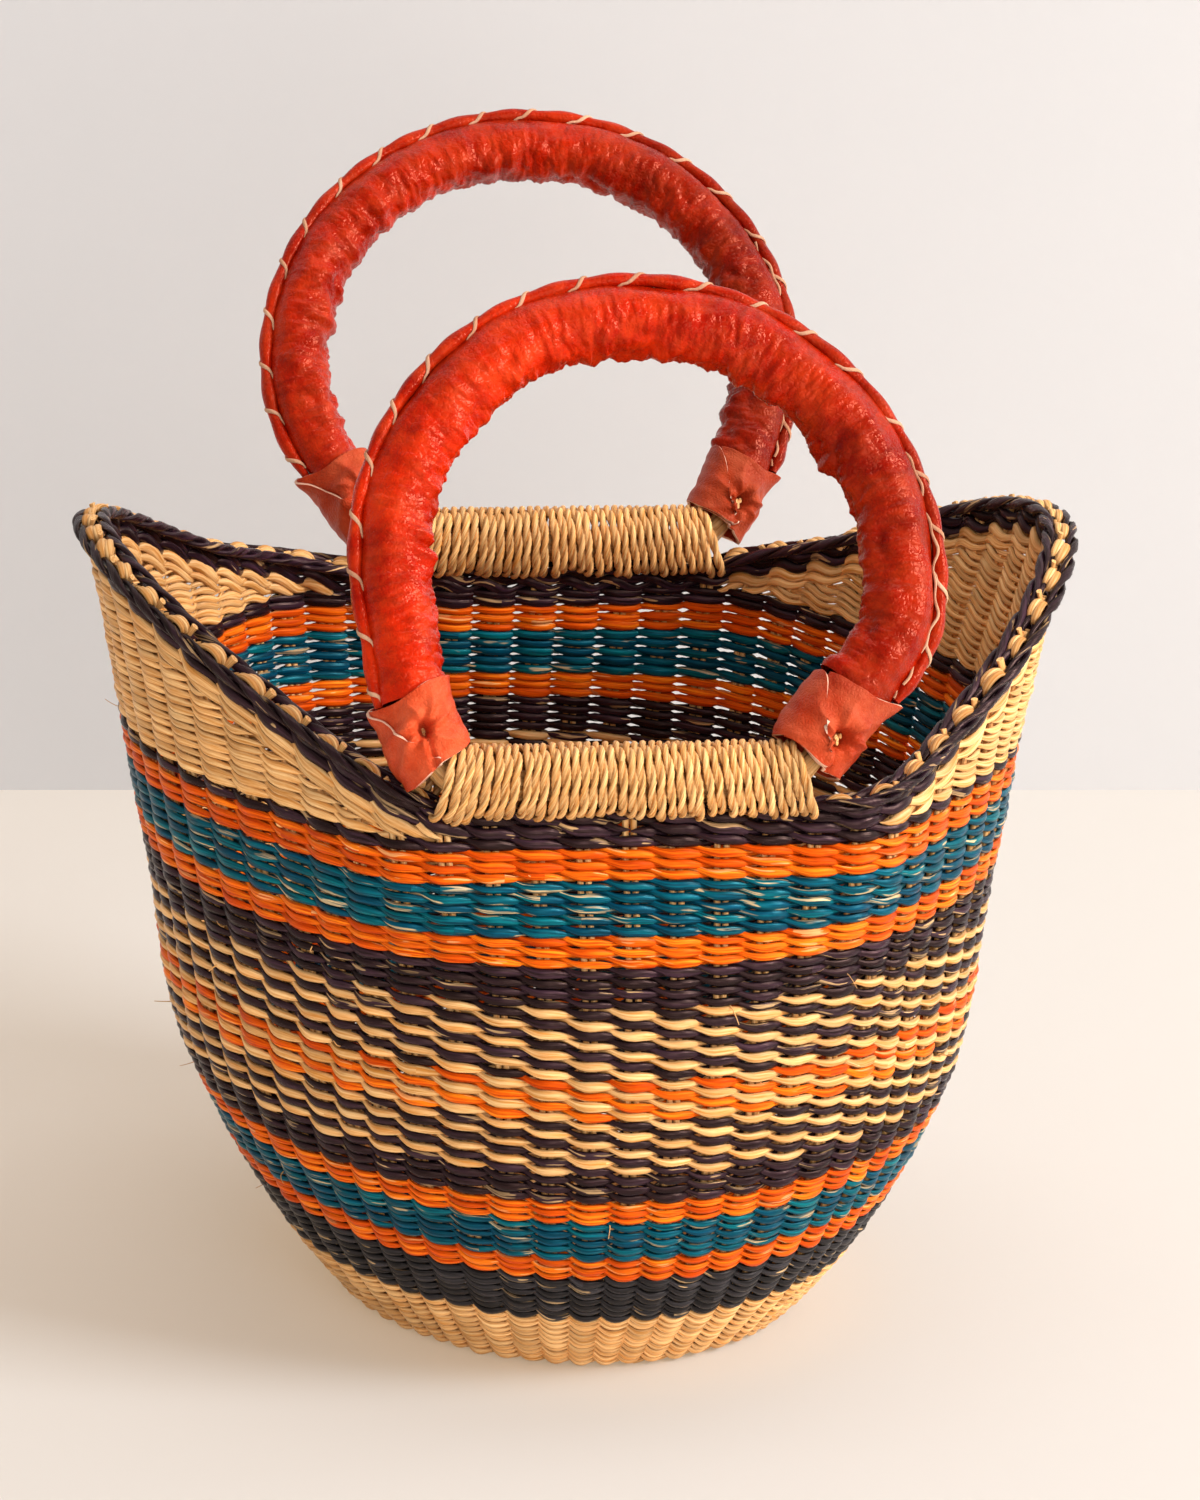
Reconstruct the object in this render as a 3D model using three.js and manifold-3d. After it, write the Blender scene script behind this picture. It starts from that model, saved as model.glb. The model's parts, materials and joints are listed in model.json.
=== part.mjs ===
// A small twined straw market basket with two leather-covered ring handles.
// Millimetres. The basket stands on z = 0, its front towards -Y and its raised ends along X.
// The wall is a stack of woven bands; each handle is a closed straw ring whose lowest
// stretch is a straight bar, wound onto the edge of the mouth with twisted straw.
import * as THREE from "three";
import { mergeVertices } from "three/addons/utils/BufferGeometryUtils.js";
import Module from "manifold-3d";

const wasm = await Module();
wasm.setup();

// Clearance between pieces that touch on the real basket
const GAP = 0.3;

// Plan of the wall: a superellipse, nearly round, that shifts a little as it rises
const BASE_HALF_WIDTH = 65;
const BASE_HALF_DEPTH = 73.5;
const PLAN_EXPONENT = 2.04;
const MOUTH_SHIFT_X = -3.5;
const MOUTH_SHIFT_Y = 10;
const MOUTH_TILT = 1.9;

// Lean of the wall out of upright, in degrees, at even steps from the base to the shoulder
const SIDE_LEAN = [43, 31.8, 25.8, 6, 11.2, 9];
const FRONT_LEAN = [47, 38.6, 14.3, 3.5, -2.8, -11.5];
const SIDE_LEAN_ABOVE = 11.8;
const FRONT_LEAN_ABOVE = -14;
const WALL = 4.6;
const BASE_THICKNESS = 3.5;
const BASE_GAP = 0.6;
// Rows of the base, as ridges on its upper face
const BASE_RIDGES = 6;
const BASE_RIDGE_DEPTH = 1.1;
const RING_FACETS = 36;

// The handles pull the mouth straight over this half-length, and the curve returns by the second
const STRAIGHT_HALF = 50;
const CURVED_BY = 92;
const STRAIGHT_SAG = 4.5;
const PULL_FROM = 130;
const PULL_FULL = 168;

// Woven bands from the base up: name, height along the wall, colour
const STRAW = "#e6bd78";
const ORANGE = "#f0601c";
const TEAL = "#12717f";
const NAVY = "#221f33";
const NAVY_STRAW = "#857050";
const ORANGE_STRAW = "#ea8f4a";
const BANDS = [
  ["foot_natural", 27.3, STRAW],
  ["band_black", 19.8, NAVY],
  ["band_orange_1", 7.7, ORANGE],
  ["band_teal_1", 12.7, TEAL],
  ["band_orange_2", 6.5, ORANGE],
  ["band_navy_1", 8.4, NAVY],
  ["band_navy_straw_1", 15.9, NAVY_STRAW],
  ["band_orange_straw", 11.5, ORANGE_STRAW],
  ["band_navy_straw_2", 19.5, NAVY_STRAW],
  ["band_navy_2", 10.7, NAVY],
  ["band_orange_3", 7.8, ORANGE],
  ["band_teal_2", 14.1, TEAL],
  ["band_orange_4", 8.2, ORANGE],
  ["shoulder_row", 3.2, NAVY],
];
const BAND_STEP = 20;
const SHOULDER = BANDS.reduce((sum, [, height]) => sum + height, 0);
// Length that the wall's meridians run on past the highest point of the crescents
const SPARE_LENGTH = 26;

// Natural crescents that raise both ends of the mouth: where they start, in degrees from the
// middle of the front or of the back, and how softly they rise there
const CRESCENT_HEIGHT = 45.5;
const CRESCENTS = {
  left: { front: { start: 21, power: 1.38 }, back: { start: 18, power: 1.75 } },
  right: { front: { start: 25, power: 1.9 }, back: { start: 26, power: 1.3 } },
};
// A crescent's solid starts where it is this high
const CRESCENT_LEAST = 0.9;
const CRESCENT_STEPS = 2;
// The weave sinks in between the stakes, on both faces of a crescent
const RIB_DEPTH = 1.6;
const RIB_GAP = 0.4;

// Border of the mouth: two rows, then a folded edge between two cords
const BORDER_HEIGHT = 6.4;
const EDGE_CORD_RADIUS = 1.5;
const EDGE_CORD_OFFSET = 3.6;
const EDGE_CORD_SIDES = 4;
const STAKES = 61;
const FOLD_HALF_WIDTH = 1.65;
const FOLD_CREST = 4.6;
const FOLD_VALLEY = 2.2;
const FOLD_TOP_SHARE = 0.7;

// Inside the whipping the edge is squeezed small, and the border gives way to the turns
const NOTCH_SPARE = 0.9;
const SQUEEZED_CORD_RADIUS = 0.9;
const SQUEEZED_CORD_OFFSET = 1.65;
const SQUEEZED_FOLD_HALF_WIDTH = 0.4;
const SQUEEZED_FOLD = 1.5;
const SQUEEZED_LIFT = 0.6;
const SQUEEZED_HALF = 45;
const SQUEEZE_FADE = 10;

// Handles: a ring of radius RING_RADIUS over a bar on the local X axis
const RING_RADIUS = 67;
const RING_CENTRE = 57.2;
const BAR_RADIUS = 4.8;
const BAR_HALF = 42;
const BAR_LIFT = 7.9;
const CORE_RADIUS = 7.2;
const CORE_NECK_RADIUS = 5.2;
const CORE_START = 46;
const CORE_SIDES = 6;
const BEND_STEPS = 3;
const BEND_REACH = 5;
const BAR_REACH = 3;
const SLEEVE_INNER = 7.9;
const SLEEVE_OUTER = 9.8;
const SLEEVE_START = 54;
const SLEEVE_STEPS = 24;
const SLEEVE_SIDES = 8;
// Outlines of a cuff from its mouth on the bar up: degrees on the circle, inner and outer radius
const CUFF = [
  { at: 45.5, inner: 6.2, outer: 7.4 },
  { at: 49, inner: 7.8, outer: 9.4 },
  { at: 53, inner: 10.1, outer: 11.3 },
  { at: 63, inner: 10.1, outer: 11.3 },
];
const SEAM_RADIUS = 1.3;
const BEAD_RADIUS = RING_RADIUS + SLEEVE_OUTER + GAP + SEAM_RADIUS;
const SEAM_START = 66;
const SEAM_STEPS = 30;
const SEAM_SIDES = 6;
const LACE_RADIUS = 0.6;
const LACE_START = 68;
const LACE_STITCHES = 20;
const LACE_STITCH_STEPS = 6;
const LACE_SIDES = 3;
const LACE_SWING = 78;
const PEG_RADIUS = 1.5;
const PEG_LENGTH = 3.4;
const PEG_ANGLE = 55;
const PEG_SIDES = 8;

// Whipping: turns of twisted straw round the bar and the edge together
const TURNS = 24;
const TURN_RADIUS = 1.38;
const TURN_STEPS = 10;
const TURN_SIDES = 5;
const WHIPPING_HALF = 39;
const WHIPPING_EXPONENT = 2.6;
const WHIPPING_HALF_WIDTH = 7.2;
const WHIPPING_TOP = 14.9;
const WHIPPING_BOTTOM = -2.1;
// The least gap is looked for on points between the steps, from this share of a turn onwards
const LEAST_GAP = 0.4;
const GAP_POINTS = 4;
const GAP_FROM_TURN = 0.75;
const GAP_TO_TURN = 6;

// Each handle: where its seat is on the mouth, its lean in degrees (negative leans towards +Y),
// the middle of its bar, how far its hand-bent ring sits sideways of the bar, and how far it is
// skewed sideways for each mm of height
const HANDLES = [
  { name: "front", seat: 0, lean: -31.7, barX: -7.5, shift: 9.8, skew: -0.013 },
  { name: "back", seat: 180, lean: -40.6, barX: 7, shift: -3.4, skew: 0.048 },
];
// The sideways shift grows between these two degrees on the circle
const SHIFT_FROM = 45;
const SHIFT_FULL = 80;

const STRAW_CORE = "#c9a468";
const LEATHER = "#b8301c";
const CUFF_LEATHER = "#cf4a30";
const LACE_STRAW = "#d9b594";

const radians = THREE.MathUtils.degToRad;
const lerp = THREE.MathUtils.lerp;
const smooth = THREE.MathUtils.smoothstep;
const signedPower = (value, power) => Math.sign(value) * Math.abs(value) ** power;
const range = (count) => Array.from({ length: count }, (unused, i) => i);

// A standard material with a straw, leather or cord finish.
function finish(color, roughness) {
  return new THREE.MeshStandardMaterial({ color, roughness, metalness: 0 });
}

// Turns every face round if the closed surface encloses a negative volume.
function facingOut(geometry) {
  const position = geometry.getAttribute("position");
  const index = geometry.index.array;
  const corner = (i) => new THREE.Vector3().fromBufferAttribute(position, index[i]);
  let volume = 0;
  for (let i = 0; i < index.length; i += 3) {
    volume += corner(i).dot(corner(i + 1).cross(corner(i + 2)));
  }
  if (volume < 0) {
    geometry.setIndex(Array.from(index).reverse());
  }
  return geometry;
}

// Joins a row of equal outlines into one closed surface: a ring, or a bar with two flat ends.
function loft(outlines, isRing) {
  const sides = outlines[0].length;
  const rows = outlines.length;
  const index = [];
  const strips = isRing ? rows : rows - 1;
  for (let row = 0; row < strips; row += 1) {
    const near = row * sides;
    const far = ((row + 1) % rows) * sides;
    for (let side = 0; side < sides; side += 1) {
      const next = (side + 1) % sides;
      index.push(near + side, far + side, far + next, near + side, far + next, near + next);
    }
  }
  if (!isRing) {
    const last = (rows - 1) * sides;
    for (let side = 1; side < sides - 1; side += 1) {
      index.push(0, side, side + 1, last, last + side + 1, last + side);
    }
  }
  const geometry = new THREE.BufferGeometry().setFromPoints(outlines.flat());
  return facingOut(geometry.setIndex(index));
}

// A meridian of the wall: distance along it to run-out, height and lean.
function meridian(start, leans, leanAbove) {
  const leanAt = (distance) => {
    const place = Math.min(distance / SHOULDER, 1) * (leans.length - 1);
    const knot = Math.min(Math.floor(place), leans.length - 2);
    const lean = lerp(leans[knot], leans[knot + 1], place - knot);
    return radians(lerp(lean, leanAbove, smooth(distance, SHOULDER, SHOULDER + BORDER_HEIGHT)));
  };
  const steps = Math.ceil(SHOULDER + CRESCENT_HEIGHT + SPARE_LENGTH);
  const out = [start];
  const up = [0];
  for (const step of range(steps)) {
    const lean = leanAt(step + 0.5);
    out.push(out[step] + Math.sin(lean));
    up.push(up[step] + Math.cos(lean));
  }
  return (distance) => {
    const floor = Math.max(0, Math.min(Math.floor(distance), steps - 1));
    const share = distance - floor;
    return {
      out: lerp(out[floor], out[floor + 1], share),
      up: lerp(up[floor], up[floor + 1], share),
      lean: leanAt(distance),
    };
  };
}

const sideMeridian = meridian(BASE_HALF_WIDTH, SIDE_LEAN, SIDE_LEAN_ABOVE);
const frontMeridian = meridian(BASE_HALF_DEPTH, FRONT_LEAN, FRONT_LEAN_ABOVE);

// A point of the wall: angle from the middle of the front towards +X, distance up the wall,
// and depth under the outer face.
function wallPoint(angle, distance, depth) {
  const side = sideMeridian(distance);
  const front = frontMeridian(distance);
  const rise = Math.min(distance / SHOULDER, 1);
  const sine = Math.sin(angle);
  const cosine = Math.cos(angle);
  const power = 2 / PLAN_EXPONENT;
  const width = signedPower(sine, power) * (side.out - depth * Math.cos(side.lean));
  const reach = front.out - depth * Math.cos(front.lean);
  const curved = Math.abs(cosine) ** power * reach;
  const straight = 1 - smooth(Math.abs(width), STRAIGHT_HALF, CURVED_BY);
  const pull = smooth(distance, PULL_FROM, PULL_FULL) * straight;
  const run = curved + (reach - curved - STRAIGHT_SAG) * pull;
  const sideUp = side.up + depth * Math.sin(side.lean);
  const frontUp = front.up + depth * Math.sin(front.lean);
  return new THREE.Vector3(
    width + MOUTH_SHIFT_X * rise,
    -Math.sign(cosine) * run + MOUTH_SHIFT_Y * rise,
    frontUp * cosine ** 2 + sideUp * sine ** 2 + MOUTH_TILT * rise * cosine,
  );
}

// Angles, in degrees, at which the bands have an outline, and the finer ones of the edge.
const FACET = 360 / RING_FACETS;
const EDGE_FACET = FACET / 2;
const ringDegrees = range(RING_FACETS).map((i) => i * FACET);
const edgeDegrees = range(RING_FACETS * 2).map((i) => i * EDGE_FACET);

// Height of the crescents over the shoulder, along the wall, straight between ring outlines.
function crescentRise(degrees) {
  const exact = (turn) => {
    const fromFront = turn <= 180 ? turn : 360 - turn;
    const ends = turn <= 180 ? CRESCENTS.right : CRESCENTS.left;
    const isFront = fromFront < 90;
    const { start, power } = isFront ? ends.front : ends.back;
    const past = (isFront ? fromFront : 180 - fromFront) - start;
    const share = THREE.MathUtils.clamp(past / (90 - start), 0, 1);
    return CRESCENT_HEIGHT * Math.sin((share * Math.PI) / 2) ** power;
  };
  const turn = THREE.MathUtils.euclideanModulo(degrees, 360);
  const low = Math.floor(turn / EDGE_FACET) * EDGE_FACET;
  return lerp(exact(low), exact(low + EDGE_FACET), (turn - low) / EDGE_FACET);
}

// A piece of wall between two heights, as outlines at the given angles; both faces may sink in.
function wallPiece(degreesList, lowAt, highAt, steps, isRing, sinkAt = () => 0) {
  const outlines = degreesList.map((degrees) => {
    const angle = radians(degrees);
    const sink = sinkAt(degrees);
    const heights = range(steps + 1).map((k) => lerp(lowAt(degrees), highAt(degrees), k / steps));
    const outer = heights.map((height) => wallPoint(angle, height, sink));
    const inner = heights.map((height) => wallPoint(angle, height, WALL - sink));
    return [...outer, ...inner.reverse()];
  });
  return loft(outlines, isRing);
}

// The woven bands, each a ring of its own.
function addBands(group) {
  let low = 0;
  for (const [name, height, colour] of BANDS) {
    const from = low;
    const to = low + height - GAP;
    const steps = Math.ceil(height / BAND_STEP);
    const geometry = wallPiece(ringDegrees, () => from, () => to, steps, true);
    addMesh(group, name, geometry, finish(colour, 0.6));
    low += height;
  }
}

// The round base: flat below, ridged above, its edge slanted along the end face of the wall.
function baseDisc() {
  const outlineAt = (depth) =>
    ringDegrees.map((degrees) => shrunk(wallPoint(radians(degrees), 0, depth), BASE_GAP));
  const top = outlineAt(BASE_THICKNESS);
  const ridges = range(2 * BASE_RIDGES).map((i) => {
    const scale = 1 - (i + 1) / (2 * BASE_RIDGES + 1);
    const drop = i % 2 === 0 ? BASE_RIDGE_DEPTH : 0;
    return top.map((point) => new THREE.Vector3(point.x * scale, point.y * scale, point.z - drop));
  });
  return loft([outlineAt(0), top, ...ridges], false);
}

// Moves a point towards the Z axis.
function shrunk(point, distance) {
  const radius = Math.hypot(point.x, point.y);
  const scale = (radius - distance) / radius;
  return new THREE.Vector3(point.x * scale, point.y * scale, point.z);
}

// How far the weave sinks in at an angle: nothing at a stake, most halfway to the next.
function ribSink(degrees) {
  const stake = (degrees * STAKES) / 360;
  return 2 * RIB_DEPTH * Math.abs(stake - Math.round(stake));
}

// The first degree, from the middle of the side between two handles, where a crescent is lower
// than its least height; direction is 1 or -1.
function crescentPoint(middle, direction) {
  let degrees = middle;
  while (crescentRise(degrees + direction / 2) > CRESCENT_LEAST) {
    degrees += direction / 2;
  }
  return degrees;
}

// A natural crescent about the middle of one side, ribbed at the stakes.
function crescent(middle) {
  const first = crescentPoint(middle, -1);
  const last = crescentPoint(middle, 1);
  const inside = range(2 * STAKES)
    .map((i) => (180 * i) / STAKES)
    .filter((degrees) => degrees > first && degrees < last);
  const highAt = (degrees) => SHOULDER + crescentRise(degrees) - RIB_GAP;
  const degreesList = [first, ...inside, last];
  return wallPiece(degreesList, () => SHOULDER, highAt, CRESCENT_STEPS, false, ribSink);
}

// Top of the two border rows, along the wall.
const borderTop = (degrees) => SHOULDER + crescentRise(degrees) + BORDER_HEIGHT;

// How far the edge lies under a whipping: 1 inside it, 0 past its ends.
function squeeze(degrees) {
  const point = wallPoint(radians(degrees), borderTop(degrees), WALL / 2);
  const handle = HANDLES[point.y < 0 ? 0 : 1];
  const along = Math.abs(point.x - handle.barX);
  return 1 - smooth(along, SQUEEZED_HALF, SQUEEZED_HALF + SQUEEZE_FADE);
}

// The two border rows that follow the whole edge.
function border() {
  const notch = TURN_RADIUS - WHIPPING_BOTTOM + NOTCH_SPARE;
  const lowAt = (degrees) => SHOULDER + crescentRise(degrees);
  const highAt = (degrees) => borderTop(degrees) - notch * squeeze(degrees);
  return wallPiece(edgeDegrees, lowAt, highAt, 1, true);
}

// A point beside the edge: across from the middle of the wall, outwards, and above the border.
function edgePoint(degrees, across, above) {
  return wallPoint(radians(degrees), borderTop(degrees) + above, WALL / 2 - across);
}

// A cord along one side of the edge.
function edgeCord(side) {
  const outlines = edgeDegrees.map((degrees) => {
    const tight = squeeze(degrees);
    const radius = lerp(EDGE_CORD_RADIUS, SQUEEZED_CORD_RADIUS, tight);
    const across = side * lerp(EDGE_CORD_OFFSET, SQUEEZED_CORD_OFFSET, tight);
    const above = lerp(radius + GAP, radius + SQUEEZED_LIFT - GAP, tight);
    return range(EDGE_CORD_SIDES).map((k) => {
      const turn = (2 * Math.PI * k) / EDGE_CORD_SIDES;
      return edgePoint(degrees, across + radius * Math.cos(turn), above + radius * Math.sin(turn));
    });
  });
  return loft(outlines, true);
}

// The stake ends folded over along the edge: a crest at each stake, a dip between stakes.
function foldedEnds() {
  const perStake = 2;
  const outlines = range(STAKES * perStake).map((i) => {
    const degrees = (360 * i) / (STAKES * perStake);
    const tight = squeeze(degrees);
    const free = i % perStake === 0 ? FOLD_CREST : FOLD_VALLEY;
    const half = lerp(FOLD_HALF_WIDTH, SQUEEZED_FOLD_HALF_WIDTH, tight);
    const top = lerp(free, SQUEEZED_FOLD + SQUEEZED_LIFT, tight);
    const foot = lerp(GAP, SQUEEZED_LIFT, tight);
    return [
      edgePoint(degrees, half, foot),
      edgePoint(degrees, half * FOLD_TOP_SHARE, top),
      edgePoint(degrees, -half * FOLD_TOP_SHARE, top),
      edgePoint(degrees, -half, foot),
    ];
  });
  return loft(outlines, true);
}

// A round outline about a point of a route in the local XZ plane.
function roundOutline(point, tangent, radius, sides) {
  const across = new THREE.Vector3(tangent.y, 0, -tangent.x);
  return range(sides).map((k) => {
    const turn = (2 * Math.PI * k) / sides;
    return new THREE.Vector3(point.x, 0, point.y)
      .addScaledVector(across, radius * Math.cos(turn))
      .add(new THREE.Vector3(0, radius * Math.sin(turn), 0));
  });
}

// A point of the handle's circle: degrees from straight down, on either side of the ring.
function circlePoint(degrees, radius = RING_RADIUS) {
  const angle = radians(degrees - 90);
  return new THREE.Vector2(radius * Math.cos(angle), RING_CENTRE + radius * Math.sin(angle));
}

// Direction of travel along the handle's circle.
function circleTangent(degrees) {
  const angle = radians(degrees);
  return new THREE.Vector2(Math.cos(angle), Math.sin(angle));
}

// Outlines along the stretch of the circle that the leather covers.
function sleeveOutlines(radius, sides) {
  return range(SLEEVE_STEPS + 1).map((i) => {
    const degrees = lerp(SLEEVE_START, 360 - SLEEVE_START, i / SLEEVE_STEPS);
    return roundOutline(circlePoint(degrees), circleTangent(degrees), radius, sides);
  });
}

// The straw ring: a straight bar, a bend at each end, and the circle.
function handleCore() {
  const startTangent = circleTangent(CORE_START);
  const endTangent = circleTangent(360 - CORE_START);
  const start = circlePoint(CORE_START);
  const end = circlePoint(360 - CORE_START);
  const rise = new THREE.CubicBezierCurve(
    new THREE.Vector2(BAR_HALF, 0),
    new THREE.Vector2(BAR_HALF + BAR_REACH, 0),
    start.clone().addScaledVector(startTangent, -BEND_REACH),
    start,
  );
  const fall = new THREE.CubicBezierCurve(
    end,
    end.clone().addScaledVector(endTangent, BEND_REACH),
    new THREE.Vector2(-BAR_HALF - BAR_REACH, 0),
    new THREE.Vector2(-BAR_HALF, 0),
  );
  const level = new THREE.Vector2(1, 0);
  return loft(
    [
      ...bendOutlines(rise, BAR_RADIUS, CORE_NECK_RADIUS),
      roundOutline(start, startTangent, CORE_NECK_RADIUS, CORE_SIDES),
      ...sleeveOutlines(CORE_RADIUS, CORE_SIDES),
      ...bendOutlines(fall, CORE_NECK_RADIUS, BAR_RADIUS),
      roundOutline(new THREE.Vector2(-BAR_HALF, 0), level, BAR_RADIUS, CORE_SIDES),
    ],
    true,
  );
}

// Outlines of the straw along a bend, up to its last point, with a radius that changes.
function bendOutlines(curve, fromRadius, toRadius) {
  return range(BEND_STEPS).map((i) => {
    const share = i / BEND_STEPS;
    const radius = lerp(fromRadius, toRadius, share ** 2);
    return roundOutline(curve.getPoint(share), curve.getTangent(share), radius, CORE_SIDES);
  });
}

// The leather sleeve: an open tube round the straw ring.
function sleeve() {
  const inner = sleeveOutlines(SLEEVE_INNER, SLEEVE_SIDES);
  return loft([...sleeveOutlines(SLEEVE_OUTER, SLEEVE_SIDES), ...inner.reverse()], true);
}

// A cuff over the end of the sleeve, drawn in towards the bar; side is 1 right, -1 left.
function cuff(side) {
  const outlinesOf = (layer) =>
    CUFF.map((ring) => {
      const degrees = side > 0 ? ring.at : 360 - ring.at;
      return roundOutline(circlePoint(degrees), circleTangent(degrees), ring[layer], SLEEVE_SIDES);
    });
  const outer = outlinesOf("outer");
  const inner = outlinesOf("inner");
  const solid = solidOf(loft([...outer, ...inner.reverse()], true));
  const hole = solidOf(pegShape(side, PEG_RADIUS + GAP, 3 * PEG_LENGTH));
  return geometryOf(solid.subtract(hole));
}

// The straw peg that plugs the hole in a cuff's outer face.
function pegShape(side, radius, length) {
  const centre = circlePoint(side > 0 ? PEG_ANGLE : 360 - PEG_ANGLE);
  const shape = new THREE.CylinderGeometry(radius, radius, length, PEG_SIDES);
  return shape.translate(centre.x, -(SLEEVE_OUTER + GAP / 2 + length / 2), centre.y);
}

// The rolled bead where the sleeve's two edges meet, along the outside of the ring.
function seamBead() {
  const outlines = range(SEAM_STEPS + 1).map((i) => {
    const degrees = lerp(SEAM_START, 360 - SEAM_START, i / SEAM_STEPS);
    const centre = circlePoint(degrees, BEAD_RADIUS);
    return roundOutline(centre, circleTangent(degrees), SEAM_RADIUS, SEAM_SIDES);
  });
  return loft(outlines, false);
}

// The thong laced over the bead: it swings from one face of the ring to the other and back.
function lace() {
  const steps = LACE_STITCHES * LACE_STITCH_STEPS;
  const ride = SEAM_RADIUS + GAP + LACE_RADIUS;
  const route = range(steps + 1).map((i) => {
    const degrees = lerp(LACE_START, 360 - LACE_START, i / steps);
    const turn = radians(LACE_SWING) * Math.cos((2 * Math.PI * i) / LACE_STITCH_STEPS);
    const point = circlePoint(degrees, BEAD_RADIUS + ride * Math.cos(turn));
    return new THREE.Vector3(point.x, ride * Math.sin(turn), point.y);
  });
  return tubeAlong(new THREE.CatmullRomCurve3(route), steps, LACE_RADIUS, LACE_SIDES);
}

// A capped tube of few sides along a curve.
function tubeAlong(curve, steps, radius, sides) {
  const frames = curve.computeFrenetFrames(steps, false);
  const outlines = range(steps + 1).map((i) =>
    range(sides).map((k) => {
      const turn = (2 * Math.PI * k) / sides;
      return curve
        .getPointAt(i / steps)
        .addScaledVector(frames.normals[i], radius * Math.cos(turn))
        .addScaledVector(frames.binormals[i], radius * Math.sin(turn));
    }),
  );
  return loft(outlines, false);
}

// The straw wound round the bar and the edge: one unbroken tube of TURNS turns.
function whipping(handle) {
  const seat = seatOf(handle);
  const middle = (WHIPPING_TOP + WHIPPING_BOTTOM) / 2;
  const halfHeight = (WHIPPING_TOP - WHIPPING_BOTTOM) / 2;
  const power = 2 / WHIPPING_EXPONENT;
  const steps = TURNS * TURN_STEPS;
  const points = range(steps + 1).map((i) => {
    const turn = (2 * Math.PI * i) / TURN_STEPS;
    const across = WHIPPING_HALF_WIDTH * signedPower(Math.sin(turn), power);
    const up = -halfHeight * signedPower(Math.cos(turn), power);
    const along = lerp(-WHIPPING_HALF, WHIPPING_HALF, i / steps);
    return new THREE.Vector3(seat.x + along, seat.y + across, seat.z + middle + up);
  });
  reportLeastGap(handle, points);
  const outlines = points.map((point, i) => {
    const before = points[Math.max(i - 1, 0)];
    const after = points[Math.min(i + 1, steps)];
    const tangent = after.clone().sub(before).normalize();
    const across = new THREE.Vector3(1, 0, 0).cross(tangent).normalize();
    const along = tangent.clone().cross(across);
    return range(TURN_SIDES).map((k) => {
      const turn = (2 * Math.PI * k) / TURN_SIDES;
      return point
        .clone()
        .addScaledVector(along, TURN_RADIUS * Math.cos(turn))
        .addScaledVector(across, TURN_RADIUS * Math.sin(turn));
    });
  });
  return loft(outlines, false);
}

// Measures, on points, the least gap between turns of a whipping and prints it.
function reportLeastGap(handle, points) {
  const fine = points.slice(0, -1).flatMap((point, i) =>
    range(GAP_POINTS).map((k) => point.clone().lerp(points[i + 1], k / GAP_POINTS)),
  );
  const turn = GAP_POINTS * TURN_STEPS;
  let least = Infinity;
  for (let i = 0; i < fine.length; i += 1) {
    const last = Math.min(i + GAP_TO_TURN * turn, fine.length);
    for (let j = i + GAP_FROM_TURN * turn; j < last; j += 1) {
      least = Math.min(least, fine[i].distanceTo(fine[j]));
    }
  }
  const gap = least - 2 * TURN_RADIUS;
  console.log(`${handle.name} whipping: least gap between turns ${gap.toFixed(2)} mm`);
  if (gap <= LEAST_GAP) {
    throw new Error("the turns of a whipping lie too close");
  }
}

// Where a handle sits: the middle of the border's top, under the bar.
function seatOf(handle) {
  const point = edgePoint(handle.seat, 0, 0);
  return new THREE.Vector3(handle.barX, point.y, point.z);
}

// A manifold solid from a closed geometry, and back.
function solidOf(geometry) {
  const bare = geometry.clone();
  bare.deleteAttribute("normal");
  bare.deleteAttribute("uv");
  const merged = mergeVertices(bare, 1e-4);
  return new wasm.Manifold(
    new wasm.Mesh({
      numProp: 3,
      vertProperties: merged.attributes.position.array,
      triVerts: new Uint32Array(merged.index.array),
    }),
  );
}

function geometryOf(solid) {
  const mesh = solid.getMesh();
  return new THREE.BufferGeometry()
    .setAttribute("position", new THREE.BufferAttribute(mesh.vertProperties, 3))
    .setIndex(new THREE.BufferAttribute(mesh.triVerts, 1));
}

// Adds one named mesh to a group.
function addMesh(group, name, geometry, material) {
  geometry.computeVertexNormals();
  const mesh = new THREE.Mesh(geometry, material);
  mesh.name = name;
  group.add(mesh);
}

// The woven body of the basket, from the base to the folded edge.
function basketBody() {
  const group = new THREE.Group();
  addMesh(group, "base_disc", baseDisc(), finish(STRAW, 0.7));
  addBands(group);
  addMesh(group, "crescent_right", crescent(90), finish(STRAW, 0.6));
  addMesh(group, "crescent_left", crescent(270), finish(STRAW, 0.6));
  addMesh(group, "rim_border", border(), finish(NAVY, 0.6));
  addMesh(group, "rim_cord_outer", edgeCord(1), finish(NAVY, 0.6));
  addMesh(group, "rim_cord_inner", edgeCord(-1), finish(NAVY, 0.6));
  addMesh(group, "rim_folded_ends", foldedEnds(), finish(STRAW, 0.6));
  return group;
}

// Bends a piece of a handle sideways, as the hand-bent ring is; the bar stays as it is.
function bentSideways(geometry, handle) {
  const position = geometry.getAttribute("position");
  for (let i = 0; i < position.count; i += 1) {
    const x = position.getX(i);
    const z = position.getZ(i);
    const degrees = THREE.MathUtils.radToDeg(Math.atan2(Math.abs(x), RING_CENTRE - z));
    const shift = handle.shift * smooth(degrees, SHIFT_FROM, SHIFT_FULL);
    position.setX(i, x + shift + handle.skew * z);
  }
  return geometry;
}

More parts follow.
